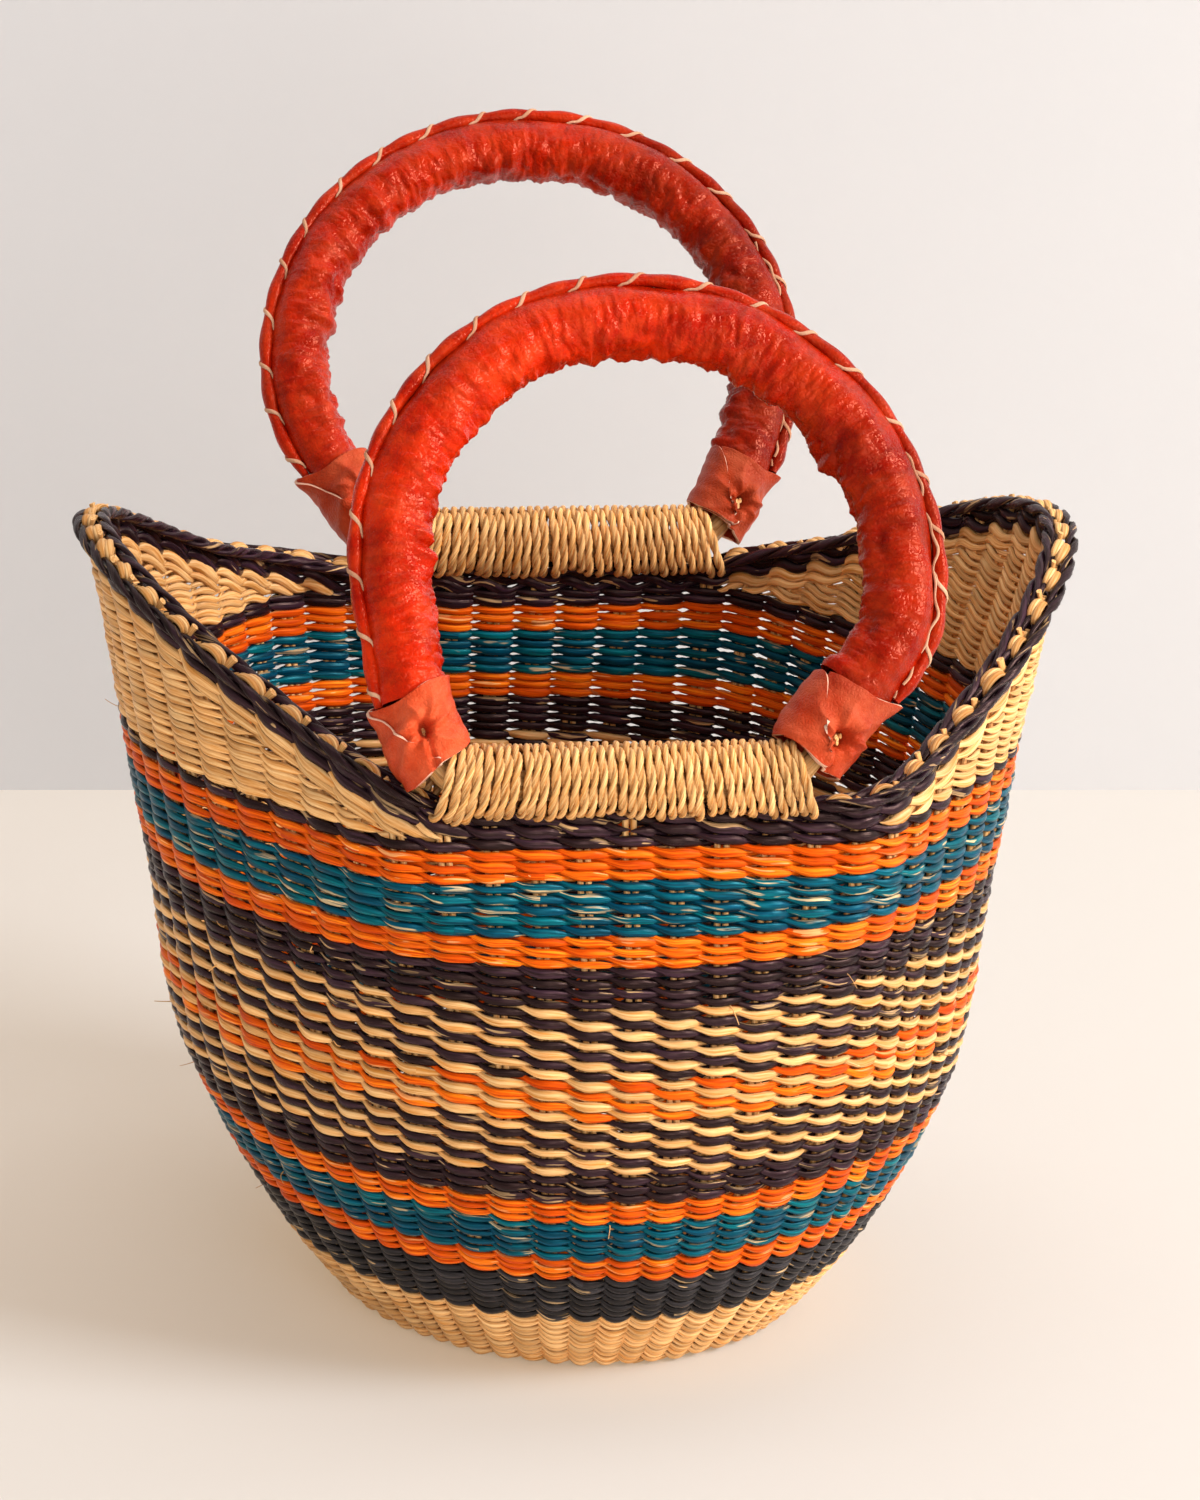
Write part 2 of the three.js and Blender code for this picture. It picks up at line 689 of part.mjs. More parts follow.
// One handle, leaning about its bar.
function handleGroup(handle) {
  const group = new THREE.Group();
  const add = (piece, shape, material) => {
    const geometry = bentSideways(shape, handle);
    addMesh(group, `${handle.name}_${piece}`, geometry, material);
  };
  add("handle_core", handleCore(), finish(STRAW_CORE, 0.8));
  add("handle_leather", sleeve(), finish(LEATHER, 0.35));
  add("handle_seam", seamBead(), finish(LEATHER, 0.4));
  add("handle_lace", lace(), finish(LACE_STRAW, 0.6));
  for (const [word, side] of [["left", -1], ["right", 1]]) {
    add(`cuff_${word}`, cuff(side), finish(CUFF_LEATHER, 0.6));
    add(`peg_${word}`, pegShape(side, PEG_RADIUS, PEG_LENGTH), finish(LACE_STRAW, 0.8));
  }
  group.position.copy(seatOf(handle)).add(new THREE.Vector3(0, 0, BAR_LIFT));
  group.rotation.x = radians(handle.lean);
  return group;
}

const basket = new THREE.Group();
basket.add(basketBody());
for (const handle of HANDLES) {
  const straw = finish(STRAW, 0.6);
  addMesh(basket, `${handle.name}_whipping`, whipping(handle), straw);
  basket.add(handleGroup(handle));
}

export default basket;
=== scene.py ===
"""A twined straw market basket with two leather-covered ring handles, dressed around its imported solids.

Sizes are in millimetres and degrees unless a name says otherwise; meshes are made in metres.
The front of the basket faces -Y and the raised ends of its mouth lie along X.
"""

import json
import logging
import math
from collections.abc import Callable
from dataclasses import dataclass, field, fields
from enum import Enum
from functools import cached_property

import bpy
import numpy as np
from bpy.types import Material, Node, NodeSocket as Socket, NodeTree as Tree, Object
from mathutils import Matrix, Vector


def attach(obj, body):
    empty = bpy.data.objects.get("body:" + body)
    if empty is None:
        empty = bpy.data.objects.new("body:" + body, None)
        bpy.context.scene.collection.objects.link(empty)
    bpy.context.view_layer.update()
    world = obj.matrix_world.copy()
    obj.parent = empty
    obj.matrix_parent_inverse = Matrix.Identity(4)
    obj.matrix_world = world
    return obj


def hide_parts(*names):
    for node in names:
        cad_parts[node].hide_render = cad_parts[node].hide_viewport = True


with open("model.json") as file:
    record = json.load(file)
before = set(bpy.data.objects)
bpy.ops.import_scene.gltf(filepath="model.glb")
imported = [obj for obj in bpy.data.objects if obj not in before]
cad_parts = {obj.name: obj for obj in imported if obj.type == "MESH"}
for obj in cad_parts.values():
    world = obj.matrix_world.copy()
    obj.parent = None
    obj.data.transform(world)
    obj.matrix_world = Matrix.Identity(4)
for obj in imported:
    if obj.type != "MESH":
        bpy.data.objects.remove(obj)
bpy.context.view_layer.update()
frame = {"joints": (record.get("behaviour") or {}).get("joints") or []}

log = logging.getLogger("basket")

MM = 0.001
Array = np.ndarray
Numbers = Array | float
Random = np.random.Generator
Triple = tuple[float, float, float]
Colour = Triple
DOWN = (0.0, 0.0, -1.0)
SIDEWAYS = (1.0, 0.0, 0.0)


class Body(Enum):
    """The rigid bodies of the basket."""

    BASKET = "basket"
    FRONT_HANDLE = "front_handle"
    BACK_HANDLE = "back_handle"


class Side(Enum):
    """The left and the right end of a handle, as its sign along X."""

    LEFT = -1
    RIGHT = 1


class Dye(Enum):
    """Whether a strand keeps its straw colour or takes the band's colour."""

    PLAIN = 0.0
    DYED = 1.0


# Small helpers on arrays


def smoothstep(value: Array, low: float, high: float) -> Array:
    """A smooth rise from 0 at low to 1 at high."""
    share = np.clip((value - low) / (high - low), 0.0, 1.0)
    return share * share * (3.0 - 2.0 * share)


def signed_power(value: Array, power: float) -> Array:
    """The power of a value's size, with the value's sign."""
    return np.sign(value) * np.abs(value) ** power


def mix(low: Array, high: Array, share: Array) -> Array:
    """A straight mix of two values."""
    return low + (high - low) * share


def unit(vectors: Array) -> Array:
    """Vectors scaled to length 1."""
    return vectors / np.maximum(np.linalg.norm(vectors, axis=-1, keepdims=True), 1e-9)


def wrapped(angle: Array) -> Array:
    """Radians brought between minus and plus half a turn."""
    return (angle + np.pi) % (2 * np.pi) - np.pi


def squared_to(vectors: Array, tangents: Array) -> Array:
    """Unit vectors with their part along the tangents taken out."""
    along = np.sum(vectors * tangents, axis=-1, keepdims=True)
    return unit(vectors - along * tangents)


def xyz(x: Numbers, y: Numbers, z: Numbers) -> Array:
    """Points or vectors from their three parts."""
    return np.stack(np.broadcast_arrays(x, y, z), axis=-1)


def travelled(points: Array) -> Array:
    """The distance travelled along a path at each of its points."""
    steps = np.linalg.norm(np.diff(points, axis=0), axis=-1)
    return np.concatenate([[0.0], np.cumsum(steps)])


def bell(value: Array, half: float, power: int = 2) -> Array:
    """A bump: 1 at zero, falling away to either side within about a half width."""
    return np.exp(-((value / half) ** power))


# The woven wall


@dataclass(frozen=True)
class Meridian:
    """A line up the wall: run-out, height and lean at even steps of the distance along it."""

    step: float
    out: Array
    up: Array
    lean: Array

    def at(self, distance: Array) -> tuple[Array, Array, Array]:
        """Run-out, height and lean at distances along the line.

        Args:
            distance: distances up the wall in millimetres.

        Returns:
            Three arrays of the same shape as distance.
        """
        places = np.arange(len(self.out)) * self.step
        return (
            np.interp(distance, places, self.out),
            np.interp(distance, places, self.up),
            np.interp(distance, places, self.lean),
        )


@dataclass(frozen=True)
class Wall:
    """The basket's wall: a nearly round plan that leans out and in as it rises."""

    base_half_width: float = 65.0
    base_half_depth: float = 73.5
    plan_exponent: float = 2.04
    mouth_shift_x: float = -3.5
    mouth_shift_y: float = 10.0
    mouth_tilt: float = 1.9
    side_lean: tuple[float, ...] = (43, 31.8, 25.8, 6, 11.2, 9)
    front_lean: tuple[float, ...] = (47, 38.6, 14.3, 3.5, -2.8, -11.5)
    side_lean_above: float = 11.8
    front_lean_above: float = -14.0
    thickness: float = 4.6
    shoulder: float = 173.3
    lean_change: float = 6.4
    longest: float = 250.0
    straight_half: float = 50.0
    curved_by: float = 92.0
    straight_sag: float = 4.5
    pull_from: float = 130.0
    pull_full: float = 168.0

    def _meridian(self, start: float, leans: tuple[float, ...], above: float) -> Meridian:
        """Builds one meridian.

        Args:
            start: run-out at the base.
            leans: leans out of upright at even steps from the base to the shoulder.
            above: the lean above the shoulder.

        Returns:
            The meridian, at steps of half a millimetre.
        """
        step = 0.5
        places = np.arange(0.0, self.longest + step, step)
        knots = np.linspace(0.0, self.shoulder, len(leans))
        lean = np.interp(places, knots, leans)
        past = smoothstep(places, self.shoulder, self.shoulder + self.lean_change)
        lean = np.radians(mix(lean, above, past))
        middle = (lean[1:] + lean[:-1]) / 2
        out = start + np.concatenate([[0.0], np.cumsum(np.sin(middle) * step)])
        up = np.concatenate([[0.0], np.cumsum(np.cos(middle) * step)])
        return Meridian(step, out, up, lean)

    @cached_property
    def side(self) -> Meridian:
        """The meridian at the raised ends."""
        return self._meridian(self.base_half_width, self.side_lean, self.side_lean_above)

    @cached_property
    def front(self) -> Meridian:
        """The meridian at the front and the back."""
        return self._meridian(self.base_half_depth, self.front_lean, self.front_lean_above)

    def point(self, angle: Array, distance: Numbers, depth: Numbers) -> Array:
        """Points of the wall.

        Args:
            angle: radians from the middle of the front towards +X.
            distance: millimetres up the wall.
            depth: millimetres under the outer face.

        Returns:
            Points in millimetres, with one more axis than the arguments.
        """
        side_out, side_up, side_lean = self.side.at(distance)
        front_out, front_up, front_lean = self.front.at(distance)
        rise = np.minimum(distance / self.shoulder, 1.0)
        sine, cosine = np.sin(angle), np.cos(angle)
        power = 2.0 / self.plan_exponent
        width = signed_power(sine, power) * (side_out - depth * np.cos(side_lean))
        reach = front_out - depth * np.cos(front_lean)
        curved = np.abs(cosine) ** power * reach
        straight = 1.0 - smoothstep(np.abs(width), self.straight_half, self.curved_by)
        pull = smoothstep(distance, self.pull_from, self.pull_full) * straight
        run = curved + (reach - curved - self.straight_sag) * pull
        height = (
            (front_up + depth * np.sin(front_lean)) * cosine**2
            + (side_up + depth * np.sin(side_lean)) * sine**2
            + self.mouth_tilt * rise * cosine
        )
        y = -np.sign(cosine) * run + self.mouth_shift_y * rise
        return xyz(width + self.mouth_shift_x * rise, y, height)

    def outward(self, angle: Array, distance: Numbers) -> Array:
        """Unit vectors out of the wall's outer face."""
        inner = self.point(angle, distance, self.thickness)
        return unit(self.point(angle, distance, 0.0) - inner)


@dataclass(frozen=True)
class Base:
    """The flat woven base: rows that close in on the middle, its outer face to the floor."""

    wall: Wall
    lift: float = 0.3
    thickness: float = 3.4

    def point(self, angle: Array, distance: Numbers, depth: Numbers) -> Array:
        """Points of the base.

        Args:
            angle: radians from the middle of the front towards +X.
            distance: millimetres in from the base's edge.
            depth: millimetres above the underside.

        Returns:
            Points in millimetres.
        """
        edge = self.wall.point(angle, 0.0, 0.0)
        radius = np.linalg.norm(edge[..., :2], axis=-1)
        scale = (radius - distance) / radius
        return xyz(edge[..., 0] * scale, edge[..., 1] * scale, self.lift + depth)

    def outward(self, angle: Array, distance: Numbers) -> Array:
        """Unit vectors out of the underside."""
        return np.broadcast_to(DOWN, (*np.shape(angle), 3))


@dataclass(frozen=True)
class CrescentEnd:
    """Where a crescent starts, in degrees from the middle of a side, and how softly it rises."""

    start: float
    power: float


@dataclass(frozen=True)
class Mouth:
    """The saddle-shaped edge: how far the crescents raise it, and where the handles squeeze it."""

    wall: Wall
    crescent_height: float = 45.5
    left_front: CrescentEnd = CrescentEnd(21.0, 1.38)
    left_back: CrescentEnd = CrescentEnd(18.0, 1.75)
    right_front: CrescentEnd = CrescentEnd(25.0, 1.9)
    right_back: CrescentEnd = CrescentEnd(26.0, 1.3)
    border_height: float = 6.4
    squeezed_half: float = 45.0
    squeeze_fade: float = 10.0

    def rise(self, angle: Array) -> Array:
        """Height of the crescents over the shoulder, along the wall."""
        turn = np.degrees(angle) % 360.0
        right = turn <= 180.0
        from_front = np.where(right, turn, 360.0 - turn)
        is_front = from_front < 90.0
        from_side = np.where(is_front, from_front, 180.0 - from_front)
        rise = np.zeros_like(turn)
        for end, here in (
            (self.left_front, ~right & is_front),
            (self.left_back, ~right & ~is_front),
            (self.right_front, right & is_front),
            (self.right_back, right & ~is_front),
        ):
            share = np.clip((from_side - end.start) / (90.0 - end.start), 0.0, 1.0)
            rise = np.where(here, np.sin(share * np.pi / 2) ** end.power, rise)
        return self.crescent_height * rise

    def top(self, angle: Array) -> Array:
        """Top of the border rows, along the wall."""
        return self.wall.shoulder + self.rise(angle) + self.border_height

    def edge(self, angle: Array, across: Numbers, above: Numbers) -> Array:
        """Points beside the edge: outwards from the middle of the wall, and above the border."""
        return self.wall.point(angle, self.top(angle) + above, self.wall.thickness / 2 - across)

    def squeeze(self, angle: Array, bar_x: dict[Body, float]) -> Array:
        """1 where the edge lies inside a whipping, 0 past its ends."""
        middle = self.edge(angle, 0.0, 0.0)
        front, back = bar_x[Body.FRONT_HANDLE], bar_x[Body.BACK_HANDLE]
        bar = np.where(middle[..., 1] < 0, front, back)
        along = np.abs(middle[..., 0] - bar)
        return 1.0 - smoothstep(along, self.squeezed_half, self.squeezed_half + self.squeeze_fade)


@dataclass(frozen=True)
class StakePlan:
    """The stakes stand evenly along the shoulder, numbered from the middle of the front to +X."""

    wall: Wall
    stakes: int = 61
    shift: float = -0.19

    @cached_property
    def _table(self) -> tuple[Array, Array]:
        """Angles, and the share of the way round at each."""
        angles = np.linspace(0.0, 2 * np.pi, 1441)
        way = travelled(self.wall.point(angles, self.wall.shoulder, 0.0))
        return angles, way / way[-1]

    def angle(self, number: Array) -> Array:
        """The angle, in radians, of a place between the stakes."""
        angles, shares = self._table
        turns = (number + self.shift) / self.stakes
        return np.interp(turns % 1.0, shares, angles) + 2 * np.pi * np.floor(turns)


# Strands and what is swept along them


@dataclass
class Strand:
    """A path for one straw: points in millimetres, the way its flat side faces, its half width."""

    points: Array
    facing: Array
    girth: Array
    shade: float = 0.5
    dye: Dye = Dye.PLAIN
    closed: bool = False


def path_tangents(points: Array, closed: bool = False) -> Array:
    """Unit tangents of a path, whose end may join its start."""
    if closed:
        return unit(np.roll(points, -1, axis=0) - np.roll(points, 1, axis=0))
    return unit(np.gradient(points, axis=0))


def straw(points: Array, facing: Array | Triple, girth: Numbers, shade: float = 0.5) -> Strand:
    """An open, undyed strand.

    Args:
        points: its path in millimetres.
        facing: which way its flat side should face, at all points or at each.
        girth: its half width, at all points or at each.
        shade: its tone, from 0 to 1.

    Returns:
        The strand, whose flat side faces as near to facing as its path allows.
    """
    squared = squared_to(np.broadcast_to(facing, points.shape), path_tangents(points))
    return Strand(points, squared, np.broadcast_to(girth, len(points)), shade)


def linked(name: str, data: object) -> Object:
    """A new object in the scene."""
    made = bpy.data.objects.new(name, data)
    bpy.context.scene.collection.objects.link(made)
    return made


def guide_object(name: str, points: Array, edges: Array | list, values: dict[str, Array]) -> Object:
    """Makes a guide of points and edges.

    Args:
        name: the object's name.
        points: its points in millimetres.
        edges: pairs of point numbers.
        values: attribute name to a number or a vector for each point.

    Returns:
        The linked object, in metres.
    """
    mesh = bpy.data.meshes.new(name)
    mesh.from_pydata(points * MM, edges, [])
    for key, value in values.items():
        is_vector = value.ndim == 2
        attribute = mesh.attributes.new(key, "FLOAT_VECTOR" if is_vector else "FLOAT", "POINT")
        attribute.data.foreach_set("vector" if is_vector else "value", value.ravel())
    return linked(name, mesh)


def strands_guide(name: str, strands: list[Strand]) -> Object:
    """Makes the guide of some strands: one chain of edges for each, with its values.

    Args:
        name: the object's name.
        strands: the strands.

    Returns:
        The linked guide object, in metres.
    """
    counts = [len(strand.points) for strand in strands]
    starts = np.concatenate([[0], np.cumsum(counts)[:-1]])
    edges = []
    for start, count, strand in zip(starts, counts, strands):
        chain = np.arange(start, start + count)
        edges.append(np.stack([chain[:-1], chain[1:]], axis=-1))
        if strand.closed:
            edges.append(np.array([[chain[-1], chain[0]]]))
    values = {
        "facing": np.concatenate([strand.facing for strand in strands]),
        "girth": np.concatenate([strand.girth for strand in strands]) * MM,
        "along": np.concatenate([travelled(strand.points) for strand in strands]) * MM,
        "dye": np.repeat([strand.dye.value for strand in strands], counts),
        "shade": np.repeat([strand.shade for strand in strands], counts),
    }
    points = np.concatenate([strand.points for strand in strands])
    return guide_object(name, points, np.concatenate(edges), values)


class Nodes:
    """Adds nodes to a tree and links them by socket name; a value may be a number or a socket."""

    def __init__(self, tree: Tree) -> None:
        """Keeps the tree."""
        self.tree = tree

    def feed(self, socket: Socket, value: object) -> None:
        """Links an output to an input socket, or gives the socket a constant."""
        if isinstance(value, Socket):
            self.tree.links.new(value, socket)
        else:
            socket.default_value = value

    def add(self, kind: str, inputs: dict | None = None, **settings: object) -> Node:
        """Adds a node.

        Args:
            kind: the node's type name.
            inputs: socket name or number to its value.
            settings: properties of the node.

        Returns:
            The node.
        """
        node = self.tree.nodes.new(kind)
        for key, value in settings.items():
            setattr(node, key, value)
        for key, value in (inputs or {}).items():
            self.feed(node.inputs[key], value)
        return node

    def math(self, operation: str, first: object, second: object = 0.0, third: object = 0.0) -> Socket:
        """A math node's result."""
        inputs = {0: first, 1: second, 2: third}
        return self.add("ShaderNodeMath", inputs, operation=operation).outputs[0]

    def times(self, first: object, second: object) -> Socket:
        """The product of two values."""
        return self.math("MULTIPLY", first, second)

    def spread(
        self, value: object, low: float, high: float, to_low: float = 0.0, to_high: float = 1.0
    ) -> Socket:
        """A value mapped from one range onto another, and held inside it."""
        inputs = {0: value, 1: low, 2: high, 3: to_low, 4: to_high}
        return self.add("ShaderNodeMapRange", inputs, clamp=True).outputs[0]

    def noise(self, vector: object, scale: object, detail: float = 2.0, roughness: float = 0.5) -> Socket:
        """A noise texture's value at a vector."""
        inputs = {"Vector": vector, "Scale": scale, "Detail": detail, "Roughness": roughness}
        return self.add("ShaderNodeTexNoise", inputs).outputs[0]

    def xyz(self, x: object, y: object, z: object) -> Socket:
        """A vector made of three values."""
        return self.add("ShaderNodeCombineXYZ", {0: x, 1: y, 2: z}).outputs[0]

    def parts(self, vector: Socket) -> list[Socket]:
        """The three values of a vector."""
        return list(self.add("ShaderNodeSeparateXYZ", {0: vector}).outputs)

    def colours(self, share: object, first: object, second: object) -> Socket:
        """Two colours mixed by a share."""
        node = self.add("ShaderNodeMix", data_type="RGBA")
        for key, value in ((0, share), (6, first), (7, second)):
            self.feed(node.inputs[key], (*value, 1.0) if isinstance(value, tuple) else value)
        return node.outputs[2]

    def toned(self, colour: Socket, tone: Socket) -> Socket:
        """A colour made brighter or darker."""
        inputs = {"Value": tone, "Color": colour}
        return self.add("ShaderNodeHueSaturation", inputs).outputs[0]

    def attribute(self, name: str, output: str = "Fac") -> Socket:
        """A mesh attribute in a shader: its number, or its Vector."""
        return self.add("ShaderNodeAttribute", attribute_name=name).outputs[output]

    def named(self, name: str, kind: str = "FLOAT") -> Socket:
        """A named attribute in a geometry tree."""
        node = self.add("GeometryNodeInputNamedAttribute", {"Name": name}, data_type=kind)
        return node.outputs["Attribute"]

    def store(self, geometry: Socket, name: str, value: Socket) -> Socket:
        """A geometry with a vector stored on its points."""
        inputs = {"Geometry": geometry, "Name": name, "Value": value}
        kind = "GeometryNodeStoreNamedAttribute"
        return self.add(kind, inputs, data_type="FLOAT_VECTOR", domain="POINT").outputs[0]


SOCKETS = {bool: "Bool", int: "Int", float: "Float"}


def start_tree(
    name: str, kind: str, inputs: dict[str, object], outputs: dict[str, str]
) -> tuple[Nodes, dict[str, Socket], Node]:
    """Starts a node tree with named sockets.

    Args:
        name: the tree's name.
        kind: Geometry or Shader.
        inputs: input name to its default value, or to its socket type where it has none.
        outputs: output name to its socket type.

    Returns:
        The tree's node adder, its inputs' sockets by name, and its output node.
    """
    tree = bpy.data.node_groups.new(name, f"{kind}NodeTree")
    for key, value in inputs.items():
        word = value if isinstance(value, str) else SOCKETS[type(value)]
        socket = tree.interface.new_socket(key, in_out="INPUT", socket_type=f"NodeSocket{word}")
        if not isinstance(value, str):
            socket.default_value = value
    for key, word in outputs.items():
        tree.interface.new_socket(key, in_out="OUTPUT", socket_type=f"NodeSocket{word}")
    nodes = Nodes(tree)
    given = nodes.add("NodeGroupInput").outputs
    return nodes, {key: given[key] for key in inputs}, nodes.add("NodeGroupOutput")


def start_geometry(name: str, **inputs: object) -> tuple[Nodes, dict[str, Socket], Node]:
    """Starts a geometry tree that also takes a geometry and a material."""
    inputs = {"Geometry": "Geometry", **inputs, "Material": "Material"}
    return start_tree(name, "Geometry", inputs, {"Geometry": "Geometry"})


def finish_geometry(nodes: Nodes, geometry: Socket, given: dict[str, Socket], output: Node) -> Tree:
    """Ends a tree: smooth faces, real instances, the material."""
    smooth = nodes.add("GeometryNodeSetShadeSmooth", {"Geometry": geometry}).outputs[0]
    real = nodes.add("GeometryNodeRealizeInstances", {"Geometry": smooth}).outputs[0]
    inputs = {"Geometry": real, "Material": given["Material"]}
    nodes.feed(output.inputs[0], nodes.add("GeometryNodeSetMaterial", inputs).outputs[0])
    return nodes.tree


def swept_sections(nodes: Nodes, given: dict[str, Socket]) -> Socket:
    """Sweeps a flattened round section along the guide and stores its fibre coordinates.

    Args:
        nodes: the tree's node adder.
        given: the inputs, with Geometry, Sides, Flatness and Caps.

    Returns:
        The mesh, whose fibre attribute holds the place round the section and the way along.
    """
    curve = nodes.add("GeometryNodeMeshToCurve", {"Mesh": given["Geometry"]}).outputs[0]
    inputs = {"Curve": curve, "Normal": nodes.named("facing", "FLOAT_VECTOR")}
    turned = nodes.add("GeometryNodeSetCurveNormal", inputs, mode="FREE").outputs[0]
    inputs = {"Resolution": given["Sides"], "Radius": 1.0}
    circle = nodes.add("GeometryNodeCurvePrimitiveCircle", inputs).outputs["Curve"]
    marked = nodes.store(circle, "section", nodes.add("GeometryNodeInputPosition").outputs[0])
    inputs = {"Geometry": marked, "Scale": nodes.xyz(given["Flatness"], 1.0, 1.0)}
    flat = nodes.add("GeometryNodeTransform", inputs).outputs[0]
    inputs = {"Curve": turned, "Profile Curve": flat, "Scale": nodes.named("girth")}
    swept = nodes.add("GeometryNodeCurveToMesh", {**inputs, "Fill Caps": given["Caps"]}).outputs[0]
    around, aside, _ = nodes.parts(nodes.named("section", "FLOAT_VECTOR"))
    return nodes.store(swept, "fibre", nodes.xyz(around, aside, nodes.named("along")))


def straw_tree() -> Tree:
    """The tree that turns guides into straws."""
    name = "straw along a path"
    nodes, given, output = start_geometry(name, Sides=8, Flatness=0.6, Caps=True)
    return finish_geometry(nodes, swept_sections(nodes, given), given, output)


def leather_tree() -> Tree:
    """The tree that turns a guide into a leather tube, creased across its inner side."""
    sizes = {"Crease": 0.0005, "Pleat": 0.0018, "Lump": 0.0014, "Seed": 0.0}
    name = "creased leather along a path"
    nodes, given, output = start_geometry(name, Sides=84, Flatness=1.0, Caps=False, **sizes)
    mesh = swept_sections(nodes, given)
    around, aside, along = nodes.parts(nodes.named("fibre", "FLOAT_VECTOR"))

    def field_at(across: float, length: float, detail: float) -> Socket:
        """Noise that changes slowly round the tube and quickly along it."""
        far = nodes.math("MULTIPLY_ADD", along, length, given["Seed"])
        place = nodes.xyz(nodes.times(around, across), nodes.times(aside, across), far)
        return nodes.noise(place, 1.0, detail)

    def ridged(value: Socket, gain: float) -> Socket:
        """Rounded folds with sharp valleys between them."""
        away = nodes.math("ABSOLUTE", nodes.math("SUBTRACT", value, 0.5))
        return nodes.times(nodes.math("SUBTRACT", away, 0.1), gain)

    inner = nodes.spread(around, 0.8, -0.85, 0.05)
    middle = nodes.spread(around, 0.95, 0.1, 0.2)
    fine = nodes.times(ridged(field_at(1.1, 330.0, 2.0), 6.0), middle)
    pleat = nodes.times(ridged(field_at(0.65, 105.0, 1.0), 5.0), inner)
    lump = nodes.times(nodes.math("SUBTRACT", field_at(0.9, 42.0, 1.5), 0.5), 2.6)
    push = nodes.times(fine, given["Crease"])
    push = nodes.math("MULTIPLY_ADD", pleat, given["Pleat"], push)
    push = nodes.math("MULTIPLY_ADD", lump, given["Lump"], push)
    inputs = {0: nodes.add("GeometryNodeInputNormal").outputs[0], "Scale": push}
    offset = nodes.add("ShaderNodeVectorMath", inputs, operation="SCALE").outputs[0]
    moved = nodes.add("GeometryNodeSetPosition", {"Geometry": mesh, "Offset": offset})
    return finish_geometry(nodes, moved.outputs[0], given, output)


def scatter_tree() -> Tree:
    """The tree that puts a copy of a shape on each point, facing as the point says."""
    sizes = {"Least size": 0.85, "Most size": 1.15, "Wobble": 0.22, "Seed": 3}
    nodes, given, output = start_geometry("shapes along the edge", Shape="Object", **sizes)
    inputs = {"Object": given["Shape"], "As Instance": True}
    shape = nodes.add("GeometryNodeObjectInfo", inputs).outputs["Geometry"]
    inputs = {
        "Primary Axis": nodes.named("run", "FLOAT_VECTOR"),
        "Secondary Axis": nodes.named("facing", "FLOAT_VECTOR"),
    }
    axes = {"primary_axis": "X", "secondary_axis": "Z"}
    upright = nodes.add("FunctionNodeAxesToRotation", inputs, **axes).outputs[0]

    def random(kind: str, least: Socket, most: Socket, seed: object) -> Socket:
        """A random value between two others, from the sockets that its kind turns on."""
        node = nodes.add("FunctionNodeRandomValue", data_type=kind)
        inputs = {"Min": least, "Max": most, "Seed": seed}
        for socket in node.inputs:
            if socket.enabled and socket.name in inputs:
                nodes.feed(socket, inputs[socket.name])
        return next(socket for socket in node.outputs if socket.enabled)

    wobble, seed = given["Wobble"], given["Seed"]
    least = nodes.times(wobble, -1.0)
    low, high = nodes.xyz(least, least, least), nodes.xyz(wobble, wobble, wobble)
    swing = random("FLOAT_VECTOR", low, high, seed)
    turn = nodes.add("FunctionNodeEulerToRotation", {0: swing}).outputs[0]
    inputs = {"Rotation": upright, "Rotate By": turn}
    turned = nodes.add("FunctionNodeRotateRotation", inputs, rotation_space="LOCAL").outputs[0]
    later = nodes.math("ADD", seed, 1.0)
    size = random("FLOAT", given["Least size"], given["Most size"], later)
    inputs = {"Points": given["Geometry"], "Instance": shape, "Rotation": turned, "Scale": size}
    placed = nodes.add("GeometryNodeInstanceOnPoints", inputs).outputs[0]
    return finish_geometry(nodes, placed, given, output)


@dataclass
class Trees:
    """The geometry trees, each built once."""

    straw: Tree = field(default_factory=straw_tree)
    leather: Tree = field(default_factory=leather_tree)
    scatter: Tree = field(default_factory=scatter_tree)


def plain_mesh(piece: Object) -> bpy.types.Mesh:
    """Puts the mesh that a piece's modifiers make in the place of its own, and drops them."""
    graph = bpy.context.evaluated_depsgraph_get()
    graph.update()
    old = piece.data
    mesh = bpy.data.meshes.new_from_object(piece.evaluated_get(graph))
    piece.modifiers.clear()
    piece.data = mesh
    bpy.data.meshes.remove(old)
    return mesh


def grown(guide: Object, tree: Tree, values: dict[str, object]) -> Object:
    """Runs a tree on a guide and keeps the result as a plain mesh.

    Args:
        guide: the guide object, which the result replaces.
        tree: the geometry tree.
        values: input name to value.

    Returns:
        A mesh object of the guide's name, with no modifier.
    """
    modifier = guide.modifiers.new("make", "NODES")
    modifier.node_group = tree
    for item in tree.interface.items_tree:
        if item.in_out == "INPUT" and item.name in values:
            modifier[item.identifier] = values[item.name]
    mesh = plain_mesh(guide)
    for name in ("facing", "girth", "section", "along", "run"):
        attribute = mesh.attributes.get(name)
        if attribute is not None:
            mesh.attributes.remove(attribute)
    return guide


# Finishes


